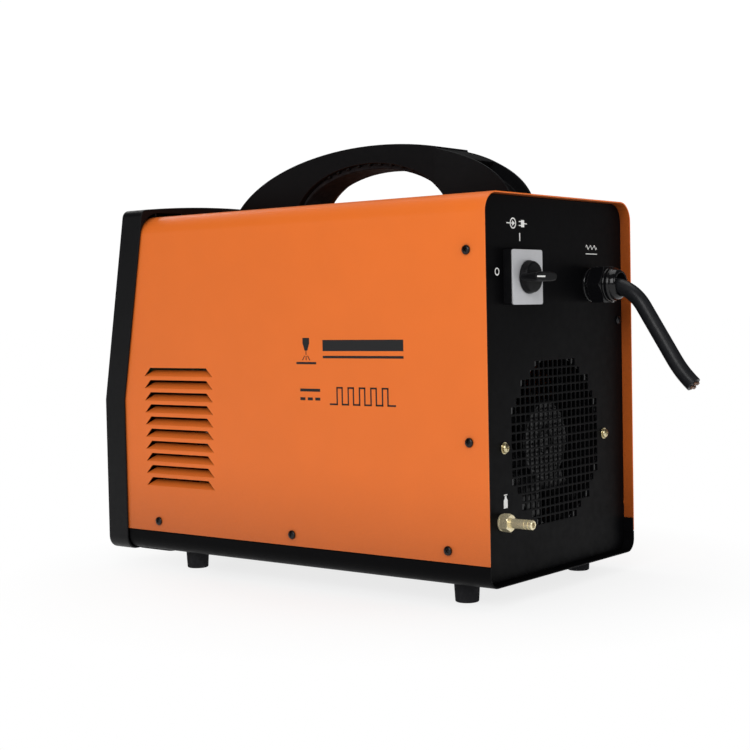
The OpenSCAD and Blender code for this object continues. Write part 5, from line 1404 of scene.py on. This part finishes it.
def build_stage():
    """A pale floor that fades into the white background away from the machine."""
    floor = bmesh.new()
    bmesh.ops.create_grid(floor, x_segments=1, y_segments=1, size=FLOOR_HALF)
    stage = shape(floor)
    stage.name = "floor"
    stage.data.transform(Matrix.Scale(MM, 4))
    n = Nodes("floor")
    tone = n.mix(n.ramp(n.noise(0.004, 2), 0.3, 0.7), (0.90, 0.90, 0.90, 1), (0.92, 0.92, 0.92, 1))
    n.finish(tone, 0.7, specular=0.05)
    distance = n.add("ShaderNodeVectorMath", {0: n.space}, operation="LENGTH")
    glow = n.add("ShaderNodeEmission", {"Color": (1, 1, 1, 1)})
    share = n.ramp(distance.outputs["Value"], *FADE, 0.80, 1.0)
    blend = n.add("ShaderNodeMixShader", {"Fac": share, 1: n.shader.outputs[0], 2: glow.outputs[0]})
    output = next(node for node in n.tree.nodes if node.type == "OUTPUT_MATERIAL")
    n.feed(output, {"Surface": blend.outputs[0]})
    stage.data.materials.append(n.material)


def area_light(name, spot, side, power):
    """A square light of a side in metres, turned to the machine."""
    light = bpy.data.lights.new(name, "AREA")
    light.shape = "RECTANGLE"
    light.size = light.size_y = side
    light.energy = power
    made = bpy.data.objects.new(name, light)
    bpy.context.scene.collection.objects.link(made)
    made.location = spot
    made.rotation_euler = (LIGHT_AIM - Vector(spot)).to_track_quat("-Z", "Y").to_euler()


LIGHT_AIM = Vector((0, 0, 0.2))
CAMERA_LEVEL = 1.02          # the background as the camera sees it
MIRROR_LEVEL = 0.06          # the background in reflections
ROOM_LEVEL = 0.18            # soft light from all round


def build_light():
    world = bpy.data.worlds.new("studio")
    bpy.context.scene.world = world
    world.use_nodes = True
    tree = world.node_tree
    back = tree.nodes["Background"]
    back.inputs["Color"].default_value = (1, 1, 1, 1)
    path = tree.nodes.new("ShaderNodeLightPath")

    glossy, seen = tree.nodes.new("ShaderNodeMix"), tree.nodes.new("ShaderNodeMix")
    glossy.inputs["A"].default_value = ROOM_LEVEL
    glossy.inputs["B"].default_value = MIRROR_LEVEL
    seen.inputs["B"].default_value = CAMERA_LEVEL
    tree.links.new(path.outputs["Is Glossy Ray"], glossy.inputs["Factor"])
    tree.links.new(path.outputs["Is Camera Ray"], seen.inputs["Factor"])
    tree.links.new(glossy.outputs["Result"], seen.inputs["A"])
    tree.links.new(seen.outputs["Result"], back.inputs["Strength"])
    area_light("key", (1.4, 0.8, 1.0), 0.9, 15)
    area_light("rear", (0.9, 2.7, 1.5), 0.9, 14)
    area_light("top", (-0.3, -0.2, 2.8), 2.0, 26)
    area_light("front", (-0.8, -2.8, 1.6), 1.6, 22)


CAMERA_AZIMUTH = 128.487     # degrees from the front, towards the near side
CAMERA_ELEVATION = 2.434
CAMERA_ROLL = -1.145
CAMERA_DISTANCE = 1475.3     # millimetres
CAMERA_LENS = 71.42
CAMERA_AIM = Vector((-4.2, 5.6, -4.5))     # from the middle of the cover's box


def build_camera():
    a, e, roll = (math.radians(v) for v in (CAMERA_AZIMUTH, CAMERA_ELEVATION, CAMERA_ROLL))
    back = Vector((math.sin(a) * math.cos(e), -math.cos(a) * math.cos(e), math.sin(e)))
    right = (-back).cross(Vector((0, 0, 1))).normalized()
    up = right.cross(-back)
    right, up = (math.cos(roll) * right + math.sin(roll) * up, math.cos(roll) * up - math.sin(roll) * right)
    data = bpy.data.cameras.new("camera")
    data.lens = CAMERA_LENS
    data.clip_end = 100
    camera = bpy.data.objects.new("camera", data)
    bpy.context.scene.collection.objects.link(camera)
    spot = (COVER_LOW + COVER_HIGH) / 2 + CAMERA_AIM + back * CAMERA_DISTANCE
    camera.matrix_world = Matrix.Translation(spot * MM) @ Matrix((right, up, back)).transposed().to_4x4()
    bpy.context.scene.camera = camera


build_stage()
build_light()
build_camera()
bpy.context.scene.view_settings.view_transform = "Standard"
